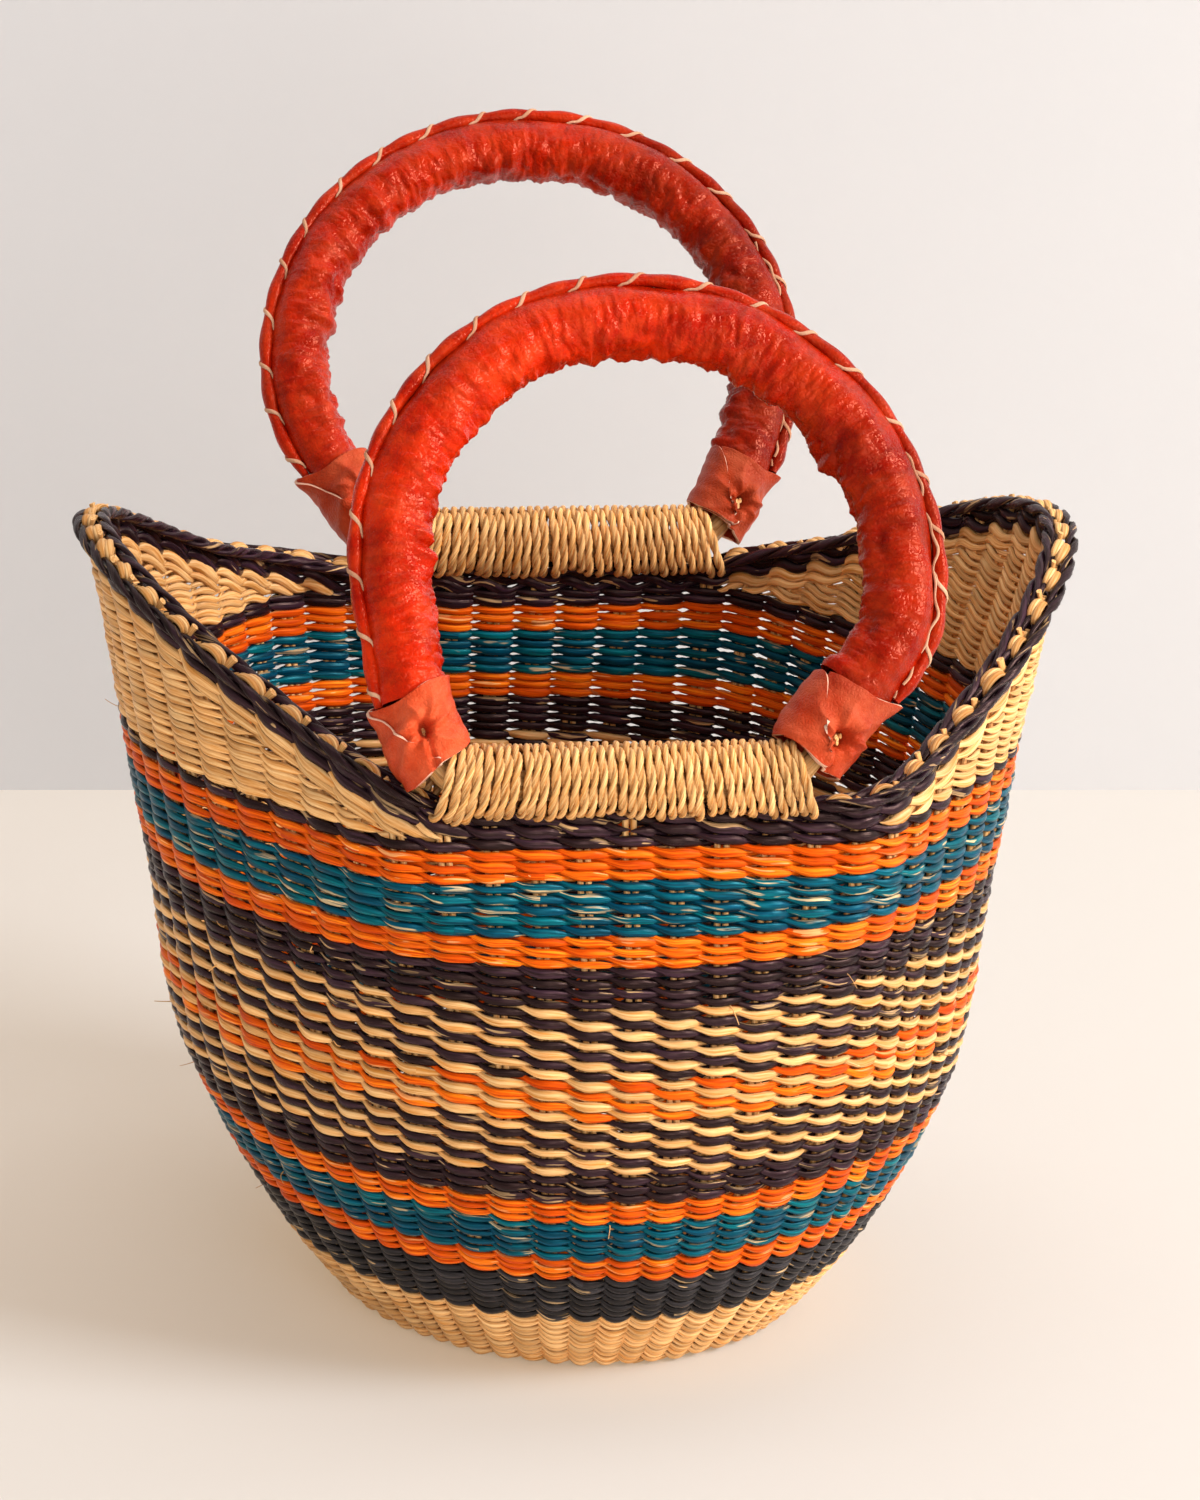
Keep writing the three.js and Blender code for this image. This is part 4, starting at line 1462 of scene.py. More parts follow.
@dataclass
class Edge(Maker):
    """The border rows, the two cords and the folded stake ends along the mouth."""

    twining: Twining = Twining(lift=0.38, twist=0.2, half_width=0.55, pinch=0.5)
    border_rows: int = 2
    cord_offset: float = 3.3
    cord_above: float = 1.3
    cord_swing: float = 1.0
    cord_half_width: float = 1.45
    squeezed_offset: float = 1.65
    squeezed_half_width: float = 0.7
    squeezed_swing: float = 0.4
    fold_above: float = 1.7
    fold_across: float = 0.2
    seed: int = 19

    def build(self) -> None:
        """Makes every piece of the edge."""
        steps = self.twining.steps_per_stake
        numbers = np.arange(self.plan.stakes * steps + 1) / steps
        border = self.straws("weave_border", self._border(numbers), "navy")
        self.fix(border, "straw_navy", "rim_border")
        for name, side in (("outer", 1), ("inner", -1)):
            cord = self.straws(f"edge_cord_{name}", self._cord(numbers, side), "navy")
            self.fix(cord, "straw_navy", f"rim_cord_{name}")
        self.fix(self._folds(), "straw_natural", "rim_folded_ends")

    def _border(self, numbers: Array) -> list[Strand]:
        """The strands of the border rows, at stake numbers once round the mouth."""
        rise = self.mouth.rise(self.plan.angle(numbers))
        pitch = self.mouth.border_height / self.border_rows
        strands = []
        for row in range(self.border_rows):
            heights = self.wall.shoulder + rise + (row + 0.5) * pitch
            strands += self.twining.row(
                self.wall, self.plan.angle, numbers, heights, pitch, self.rng, Dye.DYED
            )
        return strands

    def _cord(self, numbers: Array, side: int) -> list[Strand]:
        """The two plies of a cord along one side of the edge.

        Args:
            numbers: stake numbers once round the mouth.
            side: 1 outside, -1 inside.

        Returns:
            Two strands.
        """
        angle = self.plan.angle(numbers)
        tight = self.mouth.squeeze(angle, self.bar_x)
        centre = side * mix(self.cord_offset, self.squeezed_offset, tight)
        middle = self.mouth.edge(angle, centre, self.cord_above)
        strands = []
        for turn in (0, 1):
            phase = np.pi * (numbers - turn)
            narrow = mix(1.0, self.squeezed_swing, tight)
            across = centre + side * self.cord_swing * np.cos(phase) * narrow
            above = self.cord_above - self.cord_swing * np.sin(phase) * narrow
            points = self.mouth.edge(angle, across, above)
            girth = mix(self.cord_half_width, self.squeezed_half_width, tight)
            girth = girth * (0.85 + 0.15 * np.abs(np.cos(phase)))
            ply = straw(points, points - middle, girth, self.rng.uniform())
            ply.dye = Dye.DYED
            strands.append(ply)
        return strands

    def _fold_shape(self) -> Object:
        """One folded stake end, along X: two straws bent over, and the stub of the last one."""
        turn = np.linspace(-0.62 * np.pi, 0.62 * np.pi, 11)
        strands = []
        for across, size in ((-0.85, 1.0), (0.85, 0.92)):
            along = 3.4 * np.sin(turn) * size + across * 0.5
            up = 2.2 * (np.cos(turn) - 0.35) * size
            side = across * (0.75 + 0.25 * np.cos(turn)) - 0.5 * np.sin(turn)
            facing = xyz(np.sin(turn), 0.0, np.cos(turn))
            girth = 1.25 * (0.6 + 0.4 * np.cos(turn * 0.7))
            strands.append(Strand(xyz(along, side, up), facing, girth, 0.3 + across / 4))
        share = np.linspace(0.0, 1.0, 6)
        stub = xyz(4.4 + 1.2 * share, 0.2 + 0.7 * share, -1.6 + 3.0 * share)
        facing = np.broadcast_to((0.0, 1.0, 0.0), stub.shape)
        strands.append(Strand(stub, facing, 0.95 + 0.25 * share**2, 0.8))
        return self.straws("fold_shape", strands)

    def _folds(self) -> Object:
        """The folded ends on every stake of the edge that no whipping covers."""
        angle = self.plan.angle(np.arange(self.plan.stakes) + 0.5)
        angle = angle[self.mouth.squeeze(angle, self.bar_x) < 0.5]
        across, above = self.fold_across, self.fold_above
        points = self.mouth.edge(angle, across, above)
        run = unit(self.mouth.edge(angle + 0.01, across, above) - points)
        up = unit(self.mouth.edge(angle, across, above + 1.0) - points)
        shape = self._fold_shape()
        directions = {"run": run, "facing": squared_to(up, run)}
        guide = guide_object("folded_stake_ends", points, [], directions)
        sizes = {"Least size": 0.85, "Most size": 1.15, "Wobble": 0.22, "Seed": self.seed}
        values = {"Shape": shape, **sizes, "Material": self.materials.natural}
        piece = grown(guide, self.trees.scatter, values)
        bpy.data.objects.remove(shape)
        return piece


@dataclass
class Stakes(Maker):
    """The straw pairs that stand inside the wall from the base to the edge."""

    apart: float = 1.05
    half_width: float = 0.95
    foot_share: float = 0.62
    foot_height: float = 70.0
    past: float = 0.8
    wander: float = 0.15
    steps: int = 34
    seed: int = 8

    def build(self) -> None:
        """Makes the stakes, which the bands' solids stand for in the frame."""
        pairs = [(stake, side) for stake in range(self.plan.stakes) for side in (-1, 1)]
        strands = [self._straw(stake, side) for stake, side in pairs]
        self.fix(self.straws("stakes", strands, sides=6, flatness=0.85), "straw_natural")

    def _straw(self, stake: int, side: int) -> Strand:
        """One straw of a pair.

        Args:
            stake: the stake's number.
            side: -1 or 1, its side of the pair.

        Returns:
            The strand.
        """
        share = np.linspace(0.0, 1.0, self.steps)
        angle = self.plan.angle(np.full_like(share, float(stake)))
        heights = mix(self.past, self.mouth.top(angle) + self.past, share)
        inside = self.wall.thickness / 2
        middle = self.wall.point(angle, heights, inside)
        run = unit(self.wall.point(angle + 0.01, heights, inside) - middle)
        narrow = mix(self.foot_share, 1.0, smoothstep(heights, 0.0, self.foot_height))
        wander = np.interp(share, np.linspace(0, 1, 7), self.rng.normal(0.0, self.wander, 7))
        points = middle + run * ((side * self.apart + wander) * narrow)[:, None]
        outward = self.wall.outward(angle, heights)
        return straw(points, outward, self.half_width * narrow, self.rng.uniform(0.0, 0.7))


# The handles


@dataclass(frozen=True)
class Ring:
    """A handle's ring in its own frame: a circle over a straight bar on the X axis."""

    radius: float = 67.0
    centre: float = 57.2
    bar_half: float = 42.0
    shift_from: float = 45.0
    shift_full: float = 80.0

    def place(self, degrees: Array, radius: Numbers) -> Array:
        """Points at degrees from straight down, towards +X, and radii from the ring's centre."""
        angle = np.radians(degrees - 90.0)
        return xyz(radius * np.cos(angle), 0.0, self.centre + radius * np.sin(angle))

    def outward(self, degrees: Array) -> Array:
        """Unit vectors away from the ring's centre."""
        angle = np.radians(degrees - 90.0)
        return xyz(np.cos(angle), 0.0, np.sin(angle))

    def tangent(self, degrees: Array) -> Array:
        """Unit vectors along the ring."""
        angle = np.radians(degrees)
        return xyz(np.cos(angle), 0.0, np.sin(angle))


@dataclass(frozen=True)
class HandlePose:
    """Where a handle stands: its body and joint, its lean, how its hand-bent ring sits sideways
    of the bar and is skewed for each mm of height, and the radius of its leather tube."""

    body: Body
    joint: str
    lean: float
    shift: float
    skew: float
    tube: float
    ring: Ring = Ring()

    @property
    def word(self) -> str:
        """Which handle it is: front or back."""
        return self.body.value.split("_")[0]

    @cached_property
    def pivot(self) -> Array:
        """The middle of the bar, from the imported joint, in millimetres."""
        joint = next(j for j in frame["joints"] if j["name"] == self.joint)
        return np.array(joint["pos_m"]) / MM

    def world(self, points: Array) -> Array:
        """Points of the handle's own frame in the basket's frame."""
        ring = self.ring
        across, up = points[..., 0], points[..., 2]
        degrees = np.degrees(np.arctan2(np.abs(across), ring.centre - up))
        bent = points.copy()
        bent[..., 0] += self.shift * smoothstep(degrees, ring.shift_from, ring.shift_full)
        bent[..., 0] += self.skew * up
        return self.turned(bent) + self.pivot

    def turned(self, vectors: Array) -> Array:
        """Vectors of the handle's own frame, leant with it."""
        lean = math.radians(self.lean)
        cosine, sine = math.cos(lean), math.sin(lean)
        y = vectors[..., 1] * cosine - vectors[..., 2] * sine
        z = vectors[..., 1] * sine + vectors[..., 2] * cosine
        return xyz(vectors[..., 0], y, z)


@dataclass(kw_only=True)
class Handle(Maker):
    """One ring handle: straw, leather, seam bead, lace, cuffs and pegs."""

    pose: HandlePose
    seed: int
    bar_straws: int = 8
    bar_radius: float = 3.1
    bar_half_width: float = 1.7
    bar_end: float = 60.0
    bar_rise: float = 18.0
    sleeve_start: float = 59.0
    bead_start: float = 61.5
    bead_radius: float = 2.2
    bead_lift: float = 1.0
    bead_turn: float = 13.0
    stitches: int = 20
    thong_half_width: float = 0.54
    end_half_width: float = 0.42
    stitch_slip: float = 0.05
    crease_swing: float = -40.0

    def build(self) -> None:
        """Makes every piece of the handle."""
        word = self.pose.word
        body = self.pose.body
        core = self.straws(f"{word}_ring_straw", self._straw())
        self.fix(core, "straw_bundle", f"{word}_handle_core", body=body)
        self.fix(self._sleeve(), "leather_red", f"{word}_handle_leather", body=body)
        self.fix(self._bead(), "leather_red", f"{word}_handle_seam", body=body)
        self.fix(self._lace(), "lace_pale", f"{word}_handle_lace", body=body)
        for side in Side:
            end = side.name.lower()
            cuff = Cuff(self.pose, side, self.materials, self.seed + side.value)
            leather = cuff.piece(f"{word}_cuff_{end}_leather")
            self.fix(leather, "leather_cuff", f"{word}_cuff_{end}", body=body)
            peg = self.straws(f"{word}_peg_{end}_straw", cuff.peg(self.rng))
            self.fix(peg, "peg_straw", f"{word}_peg_{end}", body=body)

    def _straw(self) -> list[Strand]:
        """The bundled straw of the bar and the bends up into the ring, with one in its middle."""
        share = np.linspace(-1.0, 1.0, 61)
        x = share * self.bar_end
        bend = smoothstep(np.abs(x), self.pose.ring.bar_half - 4.0, self.bar_end + 2.0)
        z = self.bar_rise * bend**1.6
        strands = []
        for number in range(self.bar_straws + 1):
            angle = 2 * np.pi * number / self.bar_straws + share * 1.8
            radius = 0.0 if number == self.bar_straws else self.bar_radius
            world = self.pose.world(xyz(x, radius * np.cos(angle), z + radius * np.sin(angle)))
            facing = self.pose.turned(xyz(0.0, np.cos(angle), np.sin(angle)))
            strands.append(straw(world, facing, self.bar_half_width, self.rng.uniform()))
        return strands

    def _ring_strand(self, degrees: Array, radius: Numbers, aside: Numbers, girth: Numbers) -> Strand:
        """A strand along the ring.

        Args:
            degrees: places along the ring, from straight down.
            radius: distance from the ring's centre.
            aside: distance out of the ring's plane.
            girth: half widths.

        Returns:
            The strand, in the basket's frame.
        """
        points = self.pose.ring.place(degrees, radius)
        points[..., 1] += aside
        facing = self.pose.turned(self.pose.ring.outward(degrees))
        return straw(self.pose.world(points), facing, girth)

    def _leather(self, name: str, strand: Strand, **values: object) -> Object:
        """A creased tube of red leather along a strand, with the leather tree's values."""
        values["Material"] = self.materials.leather
        return grown(strands_guide(name, [strand]), self.trees.leather, values)

    def _sleeve(self) -> Object:
        """The creased leather round the ring."""
        degrees = np.linspace(self.sleeve_start, 360.0 - self.sleeve_start, 620)
        strand = self._ring_strand(degrees, self.pose.ring.radius, 0.0, self.pose.tube)
        sizes = {"Crease": 0.0005, "Pleat": 0.0018, "Lump": 0.0014, "Seed": float(self.seed)}
        name = f"{self.pose.word}_leather"
        return self._leather(name, strand, Sides=84, Flatness=1.0, Caps=False, **sizes)

    def _bead_girth(self, degrees: Array) -> Array:
        """The bead's half width: pinched where a stitch crosses it, drawn in at its ends."""
        start, end = self.bead_start, 360.0 - self.bead_start
        stitch = (degrees - start) / (end - start) * self.stitches
        swell = 0.13 * np.cos(2 * np.pi * (stitch - 0.26))
        ends = np.minimum(degrees - start, end - degrees)
        return self.bead_radius * (0.93 + swell) * mix(0.6, 1.0, smoothstep(ends, 0.0, 4.0))

    def _beside_bead(self, swing: Numbers = 0.0, ride: Numbers = 0.0) -> tuple[Numbers, Numbers]:
        """Places round the bead.

        Args:
            swing: radians round the bead, from its front face towards the outside of the ring.
            ride: distance from the bead's middle.

        Returns:
            Distances from the ring's centre, and out of its plane.
        """
        turn = math.radians(self.bead_turn)
        offset = self.pose.tube + self.bead_lift
        radius = self.pose.ring.radius + offset * math.cos(turn) + ride * np.sin(swing)
        aside = -offset * math.sin(turn) - ride * np.cos(swing)
        return radius, aside

    def _bead(self) -> Object:
        """The rolled edge of the leather."""
        degrees = np.linspace(self.bead_start, 360.0 - self.bead_start, 420)
        girth = self._bead_girth(degrees)
        strand = self._ring_strand(degrees, *self._beside_bead(), girth)
        sizes = {"Crease": 0.0001, "Pleat": 0.0, "Lump": 0.0002, "Seed": self.seed + 3.0}
        name = f"{self.pose.word}_seam_bead"
        return self._leather(name, strand, Sides=24, Flatness=0.9, Caps=True, **sizes)

    def _lace(self) -> Object:
        """The thong whipped over the bead, and its loose end in the crease on the right."""
        steps = 26
        turns = np.arange(self.stitches * steps + 1) / steps
        slips = self.rng.normal(0, self.stitch_slip, self.stitches + 1)
        slip = np.interp(turns, np.arange(self.stitches + 1), slips)
        share = turns % 1.0
        over = mix(0.0, 0.62, smoothstep(share, 0.0, 0.5)) + mix(0.0, 0.38, smoothstep(share, 0.5, 1.0))
        crease = math.radians(self.crease_swing)
        spread = 360.0 - 2 * self.bead_start
        degrees = 359.0 - self.bead_start - (turns + slip) / self.stitches * (spread - 2.0)
        ride = self._bead_girth(degrees) * 0.97 + 0.12
        width = self.thong_half_width * (0.75 + 0.35 * np.sin(np.pi * np.clip(share * 2, 0, 1)))
        lace = self._thong(degrees, 2 * np.pi * over + crease, ride, width)
        loose = np.linspace(self.bead_start + 3.0, 118.0, 90)
        wave = crease + 0.28 * np.sin(loose * 0.42) + 0.2 * np.sin(loose * 0.97)
        end = self._thong(loose, wave, self._bead_girth(loose) + 0.25, self.end_half_width)
        return self.straws(f"{self.pose.word}_lace", [lace, end], "thong", 8, 0.5)

    def _thong(self, degrees: Array, swing: Array, ride: Array, girth: Numbers) -> Strand:
        """A flat thong that lies on the bead.

        Args:
            degrees: places along the ring.
            swing: radians round the bead.
            ride: distance from the bead's middle.
            girth: half widths.

        Returns:
            The strand.
        """
        middle = self._ring_strand(degrees, *self._beside_bead(), girth)
        strand = self._ring_strand(degrees, *self._beside_bead(swing, ride), girth)
        return straw(strand.points, strand.points - middle.points, girth)


@dataclass
class Cuff:
    """The leather wrapped over a handle's end, its outer flap twisted into a knot.

    A place on it is a number of degrees along the ring and a turn round it: 0 faces the front,
    a quarter turn faces away from the ring's centre.
    """

    pose: HandlePose
    side: Side
    materials: Materials
    seed: int
    rows: int = 66
    columns: int = 150
    thickness: float = 0.9
    lift: float = 1.3
    flap_lift: float = 1.2
    knee: float = 62.0
    top: float = 63.5
    knot: float = 50.5
    low: float = 41.2
    valley: float = 2.8
    valley_half: float = 0.8
    inner_drop: float = 3.6
    inner_rise: float = 3.4
    outer_drop: float = 2.0
    lap: float = 1.3
    flap_width: float = 1.6
    bead_place: float = 1.36
    bead_bulge: float = 2.6
    hole_depth: float = 7.0
    swell_height: float = 1.7
    fold_height: float = 1.1
    crease_depth: float = 2.0
    fine_height: float = 0.7
    peg_half_width: float = 0.75

    @property
    def is_left(self) -> bool:
        """Whether it is the left cuff, whose knot and flaps sit differently."""
        return self.side is Side.LEFT

    @property
    def knot_place(self) -> float:
        """How far along the ring the knot sits: lower on the right."""
        return self.knot if self.is_left else self.knot - 2.5

    @property
    def knot_turn(self) -> float:
        """The knot's turn: it sits nearer the inside of the ring on the left."""
        return 0.15 if self.is_left else 0.50

    @property
    def joint_turn(self) -> float:
        """The turn where the two flaps' top edges meet."""
        return 0.75 if self.is_left else 0.3

    def _grid(self) -> tuple[Array, Array, Array]:
        """Degrees, turns and lift of the sheet: from its top edge down, and once round and over.

        Returns:
            Three arrays of shape (rows, columns).
        """
        share = np.linspace(0.0, 1.0, self.rows)[:, None]
        back = np.linspace(2 * np.pi + self.lap, 0.0, self.columns)[None, :]
        edge = self.knot_turn + 0.2 * np.sin(np.pi * share) - 0.15 * share
        turn = edge + self.side.value * -back
        valley = self.valley * bell(wrapped(turn - self.joint_turn), self.valley_half)
        drop = (self.top - self.knot_place) * (1.0 - smoothstep(back, 0.0, self.flap_width)) ** 1.3
        inside = (1.0 - np.sin(turn)) / 2.0
        top = self.top - valley - drop - self.inner_drop * inside
        if not self.is_left:
            top = top - self.outer_drop * smoothstep(np.sin(turn), 0.1, 0.9)
        low = self.low + 0.5 * np.sin(3 * turn + self.seed) + self.inner_rise * inside - 1.5 * np.cos(turn)
        fade = smoothstep(back, self.flap_width * 0.5, self.flap_width * 1.6)
        return mix(top, low, share), turn, self.flap_lift * (1.0 - fade) + 0 * share

    def _relief(self, degrees: Array, turn: Array) -> Array:
        """The knot's hole, the swelling round it and the folds that run into it.

        Args:
            degrees: places along the ring.
            turn: turns round it.

        Returns:
            Heights over the sheet in millimetres.
        """
        down = (self.knot_place - degrees) * 1.17
        across = wrapped(turn - self.knot_turn) * 11.0
        distance = np.hypot(down, across)
        around = np.arctan2(across, down)
        hole = bell(distance, 2.2, 4)
        swell = bell(distance - 5.0, 2.6) * (0.75 + 0.5 * np.cos(around - 2.2))
        rng = np.random.default_rng(self.seed + 50)
        fan = 1.0 - 2.0 * np.abs(np.sin(3.5 * around + 0.16 * distance + rng.uniform(0, 3)))
        folds = fan * bell(distance, 9.5) * (1.0 - bell(distance, 2.5))
        crease = bell(across - 0.25 * down + 0.8, 0.9) * smoothstep(down, 1.0, 4.0)
        fine = sum(
            np.sin(k * turn + 0.35 * m * degrees + rng.uniform(0, 6)) / (k + m)
            for k, m in ((5, 2), (9, 3), (3, 5), (14, 2))
        )
        raised = self.swell_height * swell + self.fold_height * folds + self.fine_height * fine
        return raised - self.hole_depth * hole - self.crease_depth * crease

    def _line(self, degrees: Array) -> tuple[Array, Array]:
        """The middle of the tube and the way out of the ring: straight on below the knee."""
        ring = self.pose.ring
        bent = np.maximum(degrees, self.knee)
        line = ring.place(bent, ring.radius)
        past = np.radians(bent - degrees) * ring.radius
        return line - past[..., None] * ring.tangent(bent), ring.outward(bent)

    def _points(self) -> Array:
        """The sheet's points in the basket's frame."""
        degrees, turn, lift = self._grid()
        flare = smoothstep(degrees, 47.0, 42.0)
        radius = self.pose.tube + self.lift + lift - 0.8 * flare
        under_bead = bell(wrapped(turn - self.bead_place), 0.32) * smoothstep(degrees, 55.0, 62.0)
        radius = radius + self._relief(degrees, turn) + self.bead_bulge * under_bead
        line, outward = self._line(degrees)
        aside = np.zeros_like(outward)
        aside[..., 1] = -1.0
        points = line + radius[..., None] * (
            np.cos(turn)[..., None] * aside + np.sin(turn)[..., None] * outward
        )
        points[..., 0] *= self.side.value
        return self.pose.world(points)

    def piece(self, name: str) -> Object:
        """Builds the cuff.

        Args:
            name: the piece's name.

        Returns:
            A leather sheet with thickness and pale cut edges.
        """
        corners = (0, 1, 1 + self.columns, self.columns)
        faces = [
            [row * self.columns + column + corner for corner in corners]
            for row in range(self.rows - 1)
            for column in range(self.columns - 1)
        ]
        mesh = bpy.data.meshes.new(name)
        mesh.from_pydata(self._points().reshape(-1, 3) * MM, [], faces)
        mesh.materials.append(self.materials.cuff)
        mesh.materials.append(self.materials.cut_edge)
        piece = linked(name, mesh)
        solid = piece.modifiers.new("thickness", "SOLIDIFY")
        solid.thickness = self.thickness * MM
        solid.offset = 1.0
        solid.material_offset_rim = 1
        plain_mesh(piece).shade_smooth()
        return piece

    def peg(self, rng: Random) -> list[Strand]:
        """The cut straws that plug the knot's hole."""
        shown = -5.0 if self.is_left else -1.2
        depth = np.linspace(1.0, self.pose.tube + shown, 6)
        strands = []
        for along, across in ((0.0, 0.0), (0.9, 0.5), (-0.7, 0.8), (0.2, -0.9)):
            turn = self.knot_turn + across / 12.0
            line, outward = self._line(np.full_like(depth, self.knot_place + along))
            line = line + outward * (depth * np.sin(turn))[:, None]
            line[..., 1] -= depth * np.cos(turn)
            line[..., 0] *= self.side.value
            world = self.pose.world(line)
            strands.append(straw(world, SIDEWAYS, self.peg_half_width, rng.uniform()))
        return strands


@dataclass(kw_only=True)
class Whipping(Maker):
    """Twisted straw wound round the bar and the edge: what ties a handle on."""

    pose: HandlePose
    seat_angle: float
    seed: int
    turns: int = 38
    steps: int = 40
    half: float = 46.0
    fan: float = 5.5
    aside: float = -1.2
    exponent: float = 2.4
    half_width: float = 7.4
    top: float = 17.8
    bottom: float = 0.4
    slip: float = 0.28
    hang: float = 0.9
    end_drop: float = 1.2
    ply_offset: float = 0.62
    ply_half_width: float = 0.92
    lay: float = 15.0
    straw_turns: int = 6

    def build(self) -> None:
        """Makes the whipping and puts it in place of its node."""
        word = self.pose.word
        piece = self.straws(f"{word}_whipping_straw", self._plies(), sides=7, flatness=0.8)
        self.fix(piece, "straw_natural", f"{word}_whipping")

    def _seat(self) -> Array:
        """The middle of the edge under the bar."""
        seat = self.mouth.edge(np.array([self.seat_angle]), 0.0, 0.0)[0]
        return np.array([self.pose.pivot[0], seat[1], seat[2]])

    def _plies(self) -> list[Strand]:
        """The two plies of the winding cord."""
        turn = np.arange(self.turns * self.steps + 1) / self.steps
        angle = 2 * np.pi * turn
        power = 2.0 / self.exponent
        low = (1.0 + np.cos(angle)) / 2
        number = np.arange(self.turns + 2)
        slip = np.interp(turn, number, self.rng.normal(0.0, self.slip, len(number)))
        hang = np.interp(turn, number, self.rng.normal(0.0, self.hang, len(number)))
        share = turn / self.turns * 2.0 - 1.0
        x = self.aside + share * (self.half + self.fan * low) + slip
        middle, half_height = (self.top + self.bottom) / 2, (self.top - self.bottom) / 2
        y = self.half_width * signed_power(np.sin(angle), power)
        z = middle - half_height * signed_power(np.cos(angle), power)
        z = z - 0.7 * low * hang - self.end_drop * low * np.abs(share) ** 3
        line = self._seat() + xyz(x, y, z)
        tangents = path_tangents(line)
        sideways = squared_to(np.broadcast_to(SIDEWAYS, line.shape), tangents)
        across = np.cross(tangents, sideways)
        strands = []
        for ply in (0, 1):
            twist = 2 * np.pi * travelled(line) / self.lay + np.pi * ply
            away = sideways * np.cos(twist)[:, None] + across * np.sin(twist)[:, None]
            swells = self.rng.normal(0.0, 1.0, len(number))
            bulge = 1.0 + 0.08 * np.interp(turn, number, swells)
            strand = straw(line + away * self.ply_offset, away, self.ply_half_width * bulge)
            strands += split_strand(strand, self.straw_turns * self.steps, self.rng)
        return strands


@dataclass
class StrayStraws(Maker):
    """Straw ends and fibres that stick out of the weave here and there."""

    count: int = 46
    lowest: float = 20.0
    root_depth: float = 1.2
    shortest: float = 2.5
    longest: float = 6.0
    thinnest: float = 0.12
    thickest: float = 0.38
    seed: int = 23

    def build(self) -> None:
        """Makes the stray ends."""
        strands = [self._fibre() for _ in range(self.count)]
        piece = self.straws("stray_straws", strands, sides=5, flatness=0.7)
        self.fix(piece, "straw_natural")

    def _fibre(self) -> Strand:
        """One short end, rooted in the wall and bending away from it."""
        rng = self.rng
        angle = self.plan.angle(np.array([rng.uniform(0.0, self.plan.stakes)]))
        height = np.array([rng.uniform(self.lowest, self.wall.shoulder)])
        root = self.wall.point(angle, height, self.root_depth)[0]
        out = self.wall.outward(angle, height)[0]
        lean = unit(rng.normal(0.0, 1.0, 3))
        share = np.linspace(0.0, 1.0, 6)[:, None]
        length = rng.uniform(self.shortest, self.longest)
        points = root + out * share * length * 0.75 + lean * share**2 * length * 0.6
        girth = rng.uniform(self.thinnest, self.thickest) * (1.0 - 0.5 * share[:, 0])
        return straw(points, lean, girth, rng.uniform())


# The studio


@dataclass(frozen=True)
class Backdrop:
    """A pale sheet: the colour and glow that the eye sees, and the colour that it throws back."""

    name: str
    seen: Colour
    glow: Colour
    bounce: Colour
    one_sided: bool = False


@dataclass(frozen=True)
class Lamp:
    """A square lamp: where it hangs and its side in metres, its power in watts, its colour."""

    name: str
    place: Triple
    size: float
    power: float
    colour: Colour


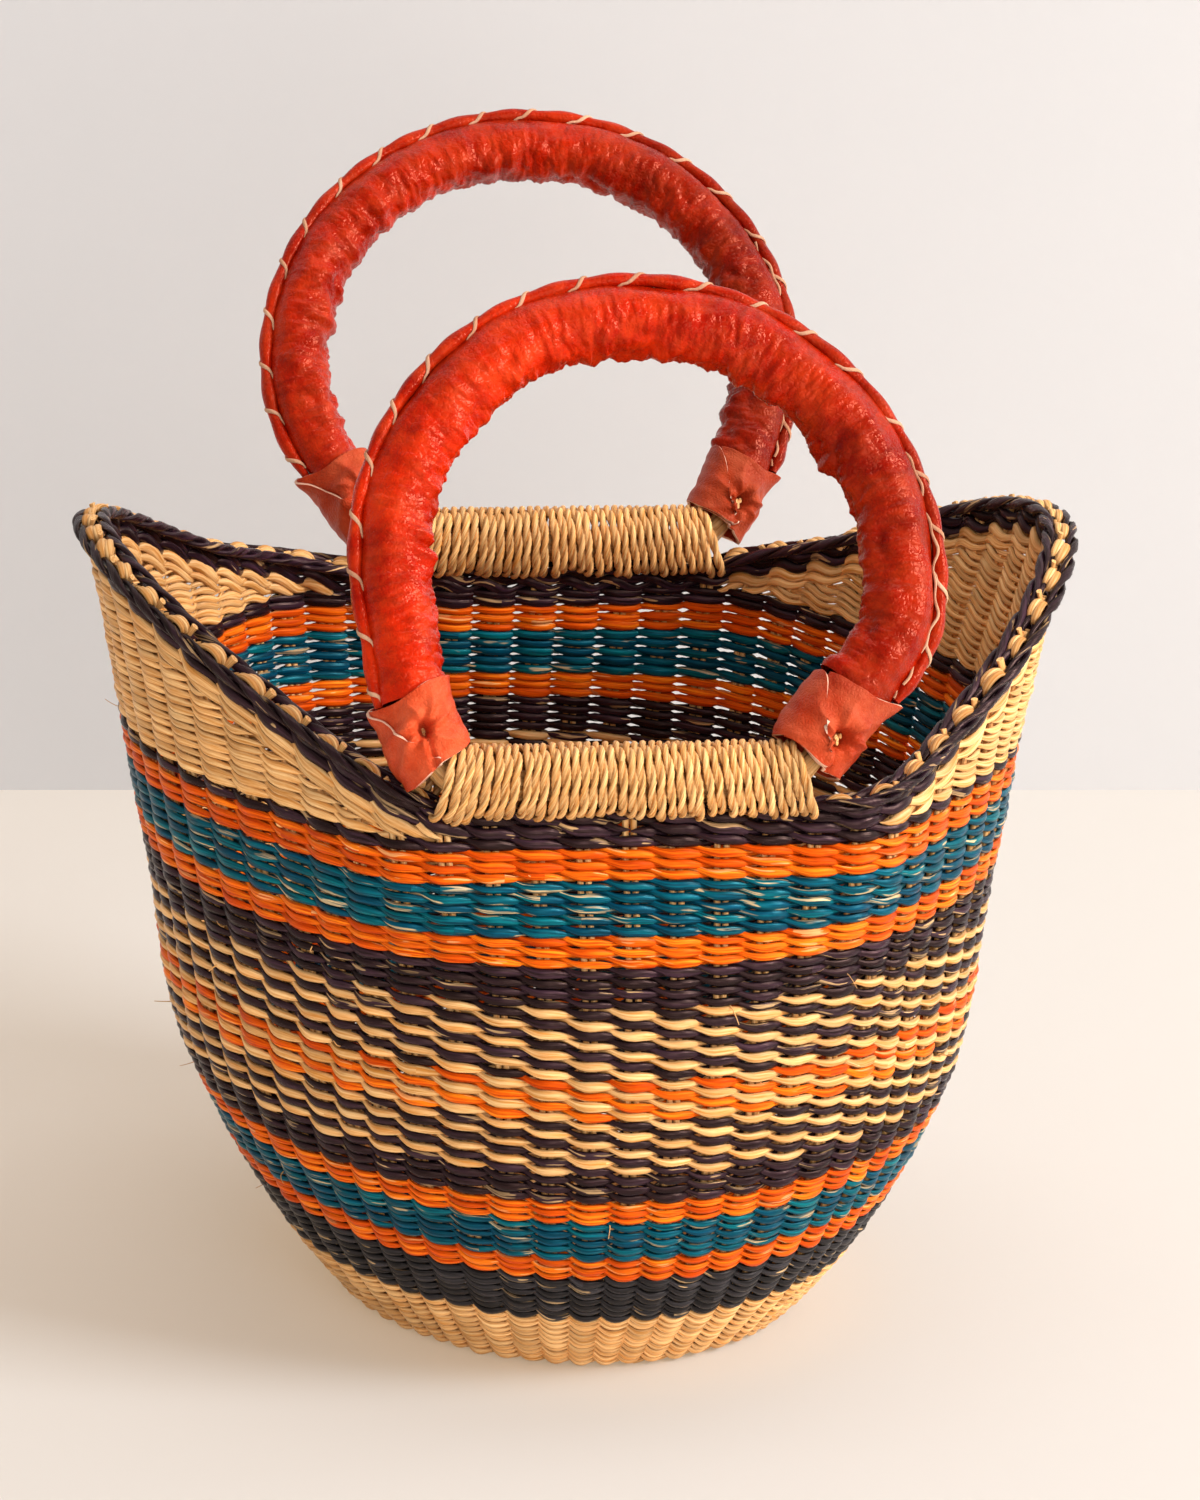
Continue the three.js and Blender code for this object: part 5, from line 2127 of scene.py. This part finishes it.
@dataclass(frozen=True)
class Studio:
    """The camera of the photograph, the pale floor and wall, and the soft lights."""

    lens: float = 193.2
    sensor: float = 36.0
    distance: float = 2187.4
    elevation: float = 19.35
    azimuth: float = -10.62
    roll: float = 2.67
    aim_across: float = 3.35
    aim_height: float = 150.4
    wall_left: tuple[float, float] = (-118.0, 391.1)
    wall_right: tuple[float, float] = (273.1, 372.5)
    lamp_aim: Triple = (0.0, 0.0, 0.12)
    world_colour: Colour = (1.0, 0.97, 0.94)
    world_strength: float = 0.52
    floor: Backdrop = Backdrop("floor", (0.345, 0.37, 0.40), (0.36, 0.25, 0.15), (0.80, 0.76, 0.70))
    wall: Backdrop = Backdrop(
        "wall", (0.50, 0.495, 0.505), (0.04, 0.03, 0.025), (0.75, 0.73, 0.70), True
    )
    lamps: tuple[Lamp, ...] = (
        Lamp("key", (1.9, -1.0, 1.5), 1.0, 78.0, (1.0, 0.98, 0.95)),
        Lamp("fill", (0.3, -2.2, 0.8), 1.2, 18.0, (1.0, 0.97, 0.94)),
        Lamp("top", (0.2, 0.5, 2.4), 1.3, 20.0, (1.0, 0.98, 0.95)),
    )

    def build(self) -> None:
        """Makes the camera, the backdrop and the lights."""
        self._camera()
        self._backdrop()
        self._world()
        for lamp in self.lamps:
            self._area(lamp)

    def _camera(self) -> None:
        """Puts the camera at the photograph's viewpoint."""
        angles = (self.elevation, self.azimuth, self.roll)
        elevation, azimuth, roll = (math.radians(angle) for angle in angles)
        level = math.cos(elevation)
        look = Vector((-math.sin(azimuth) * level, math.cos(azimuth) * level, -math.sin(elevation)))
        right = Vector((math.cos(azimuth), math.sin(azimuth), 0.0))
        up = right.cross(look)
        rolled_right = right * math.cos(roll) + up * math.sin(roll)
        rolled_up = up * math.cos(roll) - right * math.sin(roll)
        aim = right * self.aim_across + Vector((0.0, 0.0, self.aim_height))
        data = bpy.data.cameras.new("camera")
        data.sensor_fit = "VERTICAL"
        data.sensor_height = self.sensor
        data.sensor_width = self.sensor
        data.lens = self.lens
        data.clip_start = 0.05
        data.clip_end = 50.0
        camera = linked("camera", data)
        rotation = Matrix((rolled_right, rolled_up, -look)).transposed().to_4x4()
        camera.matrix_world = Matrix.Translation((aim - look * self.distance) * MM) @ rotation
        bpy.context.scene.camera = camera

    def _backdrop(self) -> None:
        """A pale floor, and a pale wall that meets it behind the basket."""
        left = Vector((*self.wall_left, 0.0)) * MM
        right = Vector((*self.wall_right, 0.0)) * MM
        run = (right - left).normalized()
        back = Vector((-run.y, run.x, 0.0))
        start, end = left - run * 4.0, right + run * 4.0
        front = back * -5.0
        rise = Vector((0.0, 0.0, 5.0))
        self._sheet(self.floor, [start + front, end + front, end - front, start - front])
        self._sheet(self.wall, [start, end, end + rise, start + rise])

    def _sheet(self, look: Backdrop, corners: list[Vector]) -> None:
        """A plain pale sheet whose shadows stay light and warm to the eye.

        Args:
            look: its name and colours.
            corners: its four corners in metres.
        """
        mesh = bpy.data.meshes.new(look.name)
        mesh.from_pydata(corners, [], [(0, 1, 2, 3)])
        material, nodes, surface = start_material(look.name)
        soft = nodes.noise(nodes.add("ShaderNodeTexCoord").outputs["Object"], 1.2, 1.0)
        pale = tuple(min(1.0, c * 1.03) for c in look.seen)
        tone = nodes.colours(soft, look.seen, pale)
        ray = nodes.add("ShaderNodeLightPath").outputs
        eye = nodes.math("MAXIMUM", ray["Is Camera Ray"], ray["Is Glossy Ray"])
        eye = nodes.math("MAXIMUM", eye, ray["Is Transmission Ray"])
        nodes.feed(surface.inputs["Base Color"], nodes.colours(eye, look.bounce, tone))
        nodes.feed(surface.inputs["Emission Strength"], eye)
        surface.inputs["Roughness"].default_value = 0.9
        surface.inputs["Emission Color"].default_value = (*look.glow, 1.0)
        if look.one_sided:
            self._clear_from_behind(nodes, surface)
        mesh.materials.append(material)
        linked(look.name, mesh)

    def _clear_from_behind(self, nodes: Nodes, surface: Node) -> None:
        """Lets a view from behind a sheet look through it."""
        output = next(node for node in nodes.tree.nodes if node.type == "OUTPUT_MATERIAL")
        behind = nodes.add("ShaderNodeNewGeometry").outputs["Backfacing"]
        clear = nodes.add("ShaderNodeBsdfTransparent").outputs[0]
        either = nodes.add("ShaderNodeMixShader", {0: behind, 1: surface.outputs[0], 2: clear})
        nodes.feed(output.inputs["Surface"], either.outputs[0])

    def _world(self) -> None:
        """An even, slightly warm light from all round."""
        world = bpy.data.worlds.new("room")
        world.use_nodes = True
        background = world.node_tree.nodes["Background"]
        background.inputs["Color"].default_value = (*self.world_colour, 1.0)
        background.inputs["Strength"].default_value = self.world_strength
        bpy.context.scene.world = world

    def _area(self, look: Lamp) -> None:
        """Hangs a lamp that faces the basket."""
        data = bpy.data.lights.new(look.name, "AREA")
        data.size = look.size
        data.energy = look.power
        data.color = look.colour
        lamp = linked(look.name, data)
        lamp.location = look.place
        lamp.rotation_mode = "QUATERNION"
        aim = Vector(self.lamp_aim) - Vector(look.place)
        lamp.rotation_quaternion = aim.to_track_quat("-Z", "Y")


def main() -> None:
    """Builds the basket and its setting."""
    logging.basicConfig(level=logging.INFO, format="%(name)s: %(message)s")
    bpy.context.scene.view_settings.view_transform = "Standard"
    wall = Wall()
    front = HandlePose(Body.FRONT_HANDLE, "front_handle_swing", -31.7, 9.8, -0.013, 9.8)
    back = HandlePose(Body.BACK_HANDLE, "back_handle_swing", -40.6, -3.4, 0.048, 8.8)
    bar_x = {pose.body: float(pose.pivot[0]) for pose in (front, back)}
    kit = (Materials(Palette()), Trees(), wall, Mouth(wall), StakePlan(wall), bar_x)
    Studio().build()
    for maker in (WovenBase, WovenWall, Crescents, Edge, Stakes):
        maker(*kit).build()
    for number, (pose, seat) in enumerate(((front, 0.0), (back, math.pi))):
        Whipping(*kit, pose=pose, seat_angle=seat, seed=61 + number).build()
        Handle(*kit, pose=pose, seed=90 + 10 * number).build()
    StrayStraws(*kit).build()


if __name__ == "__main__":
    main()
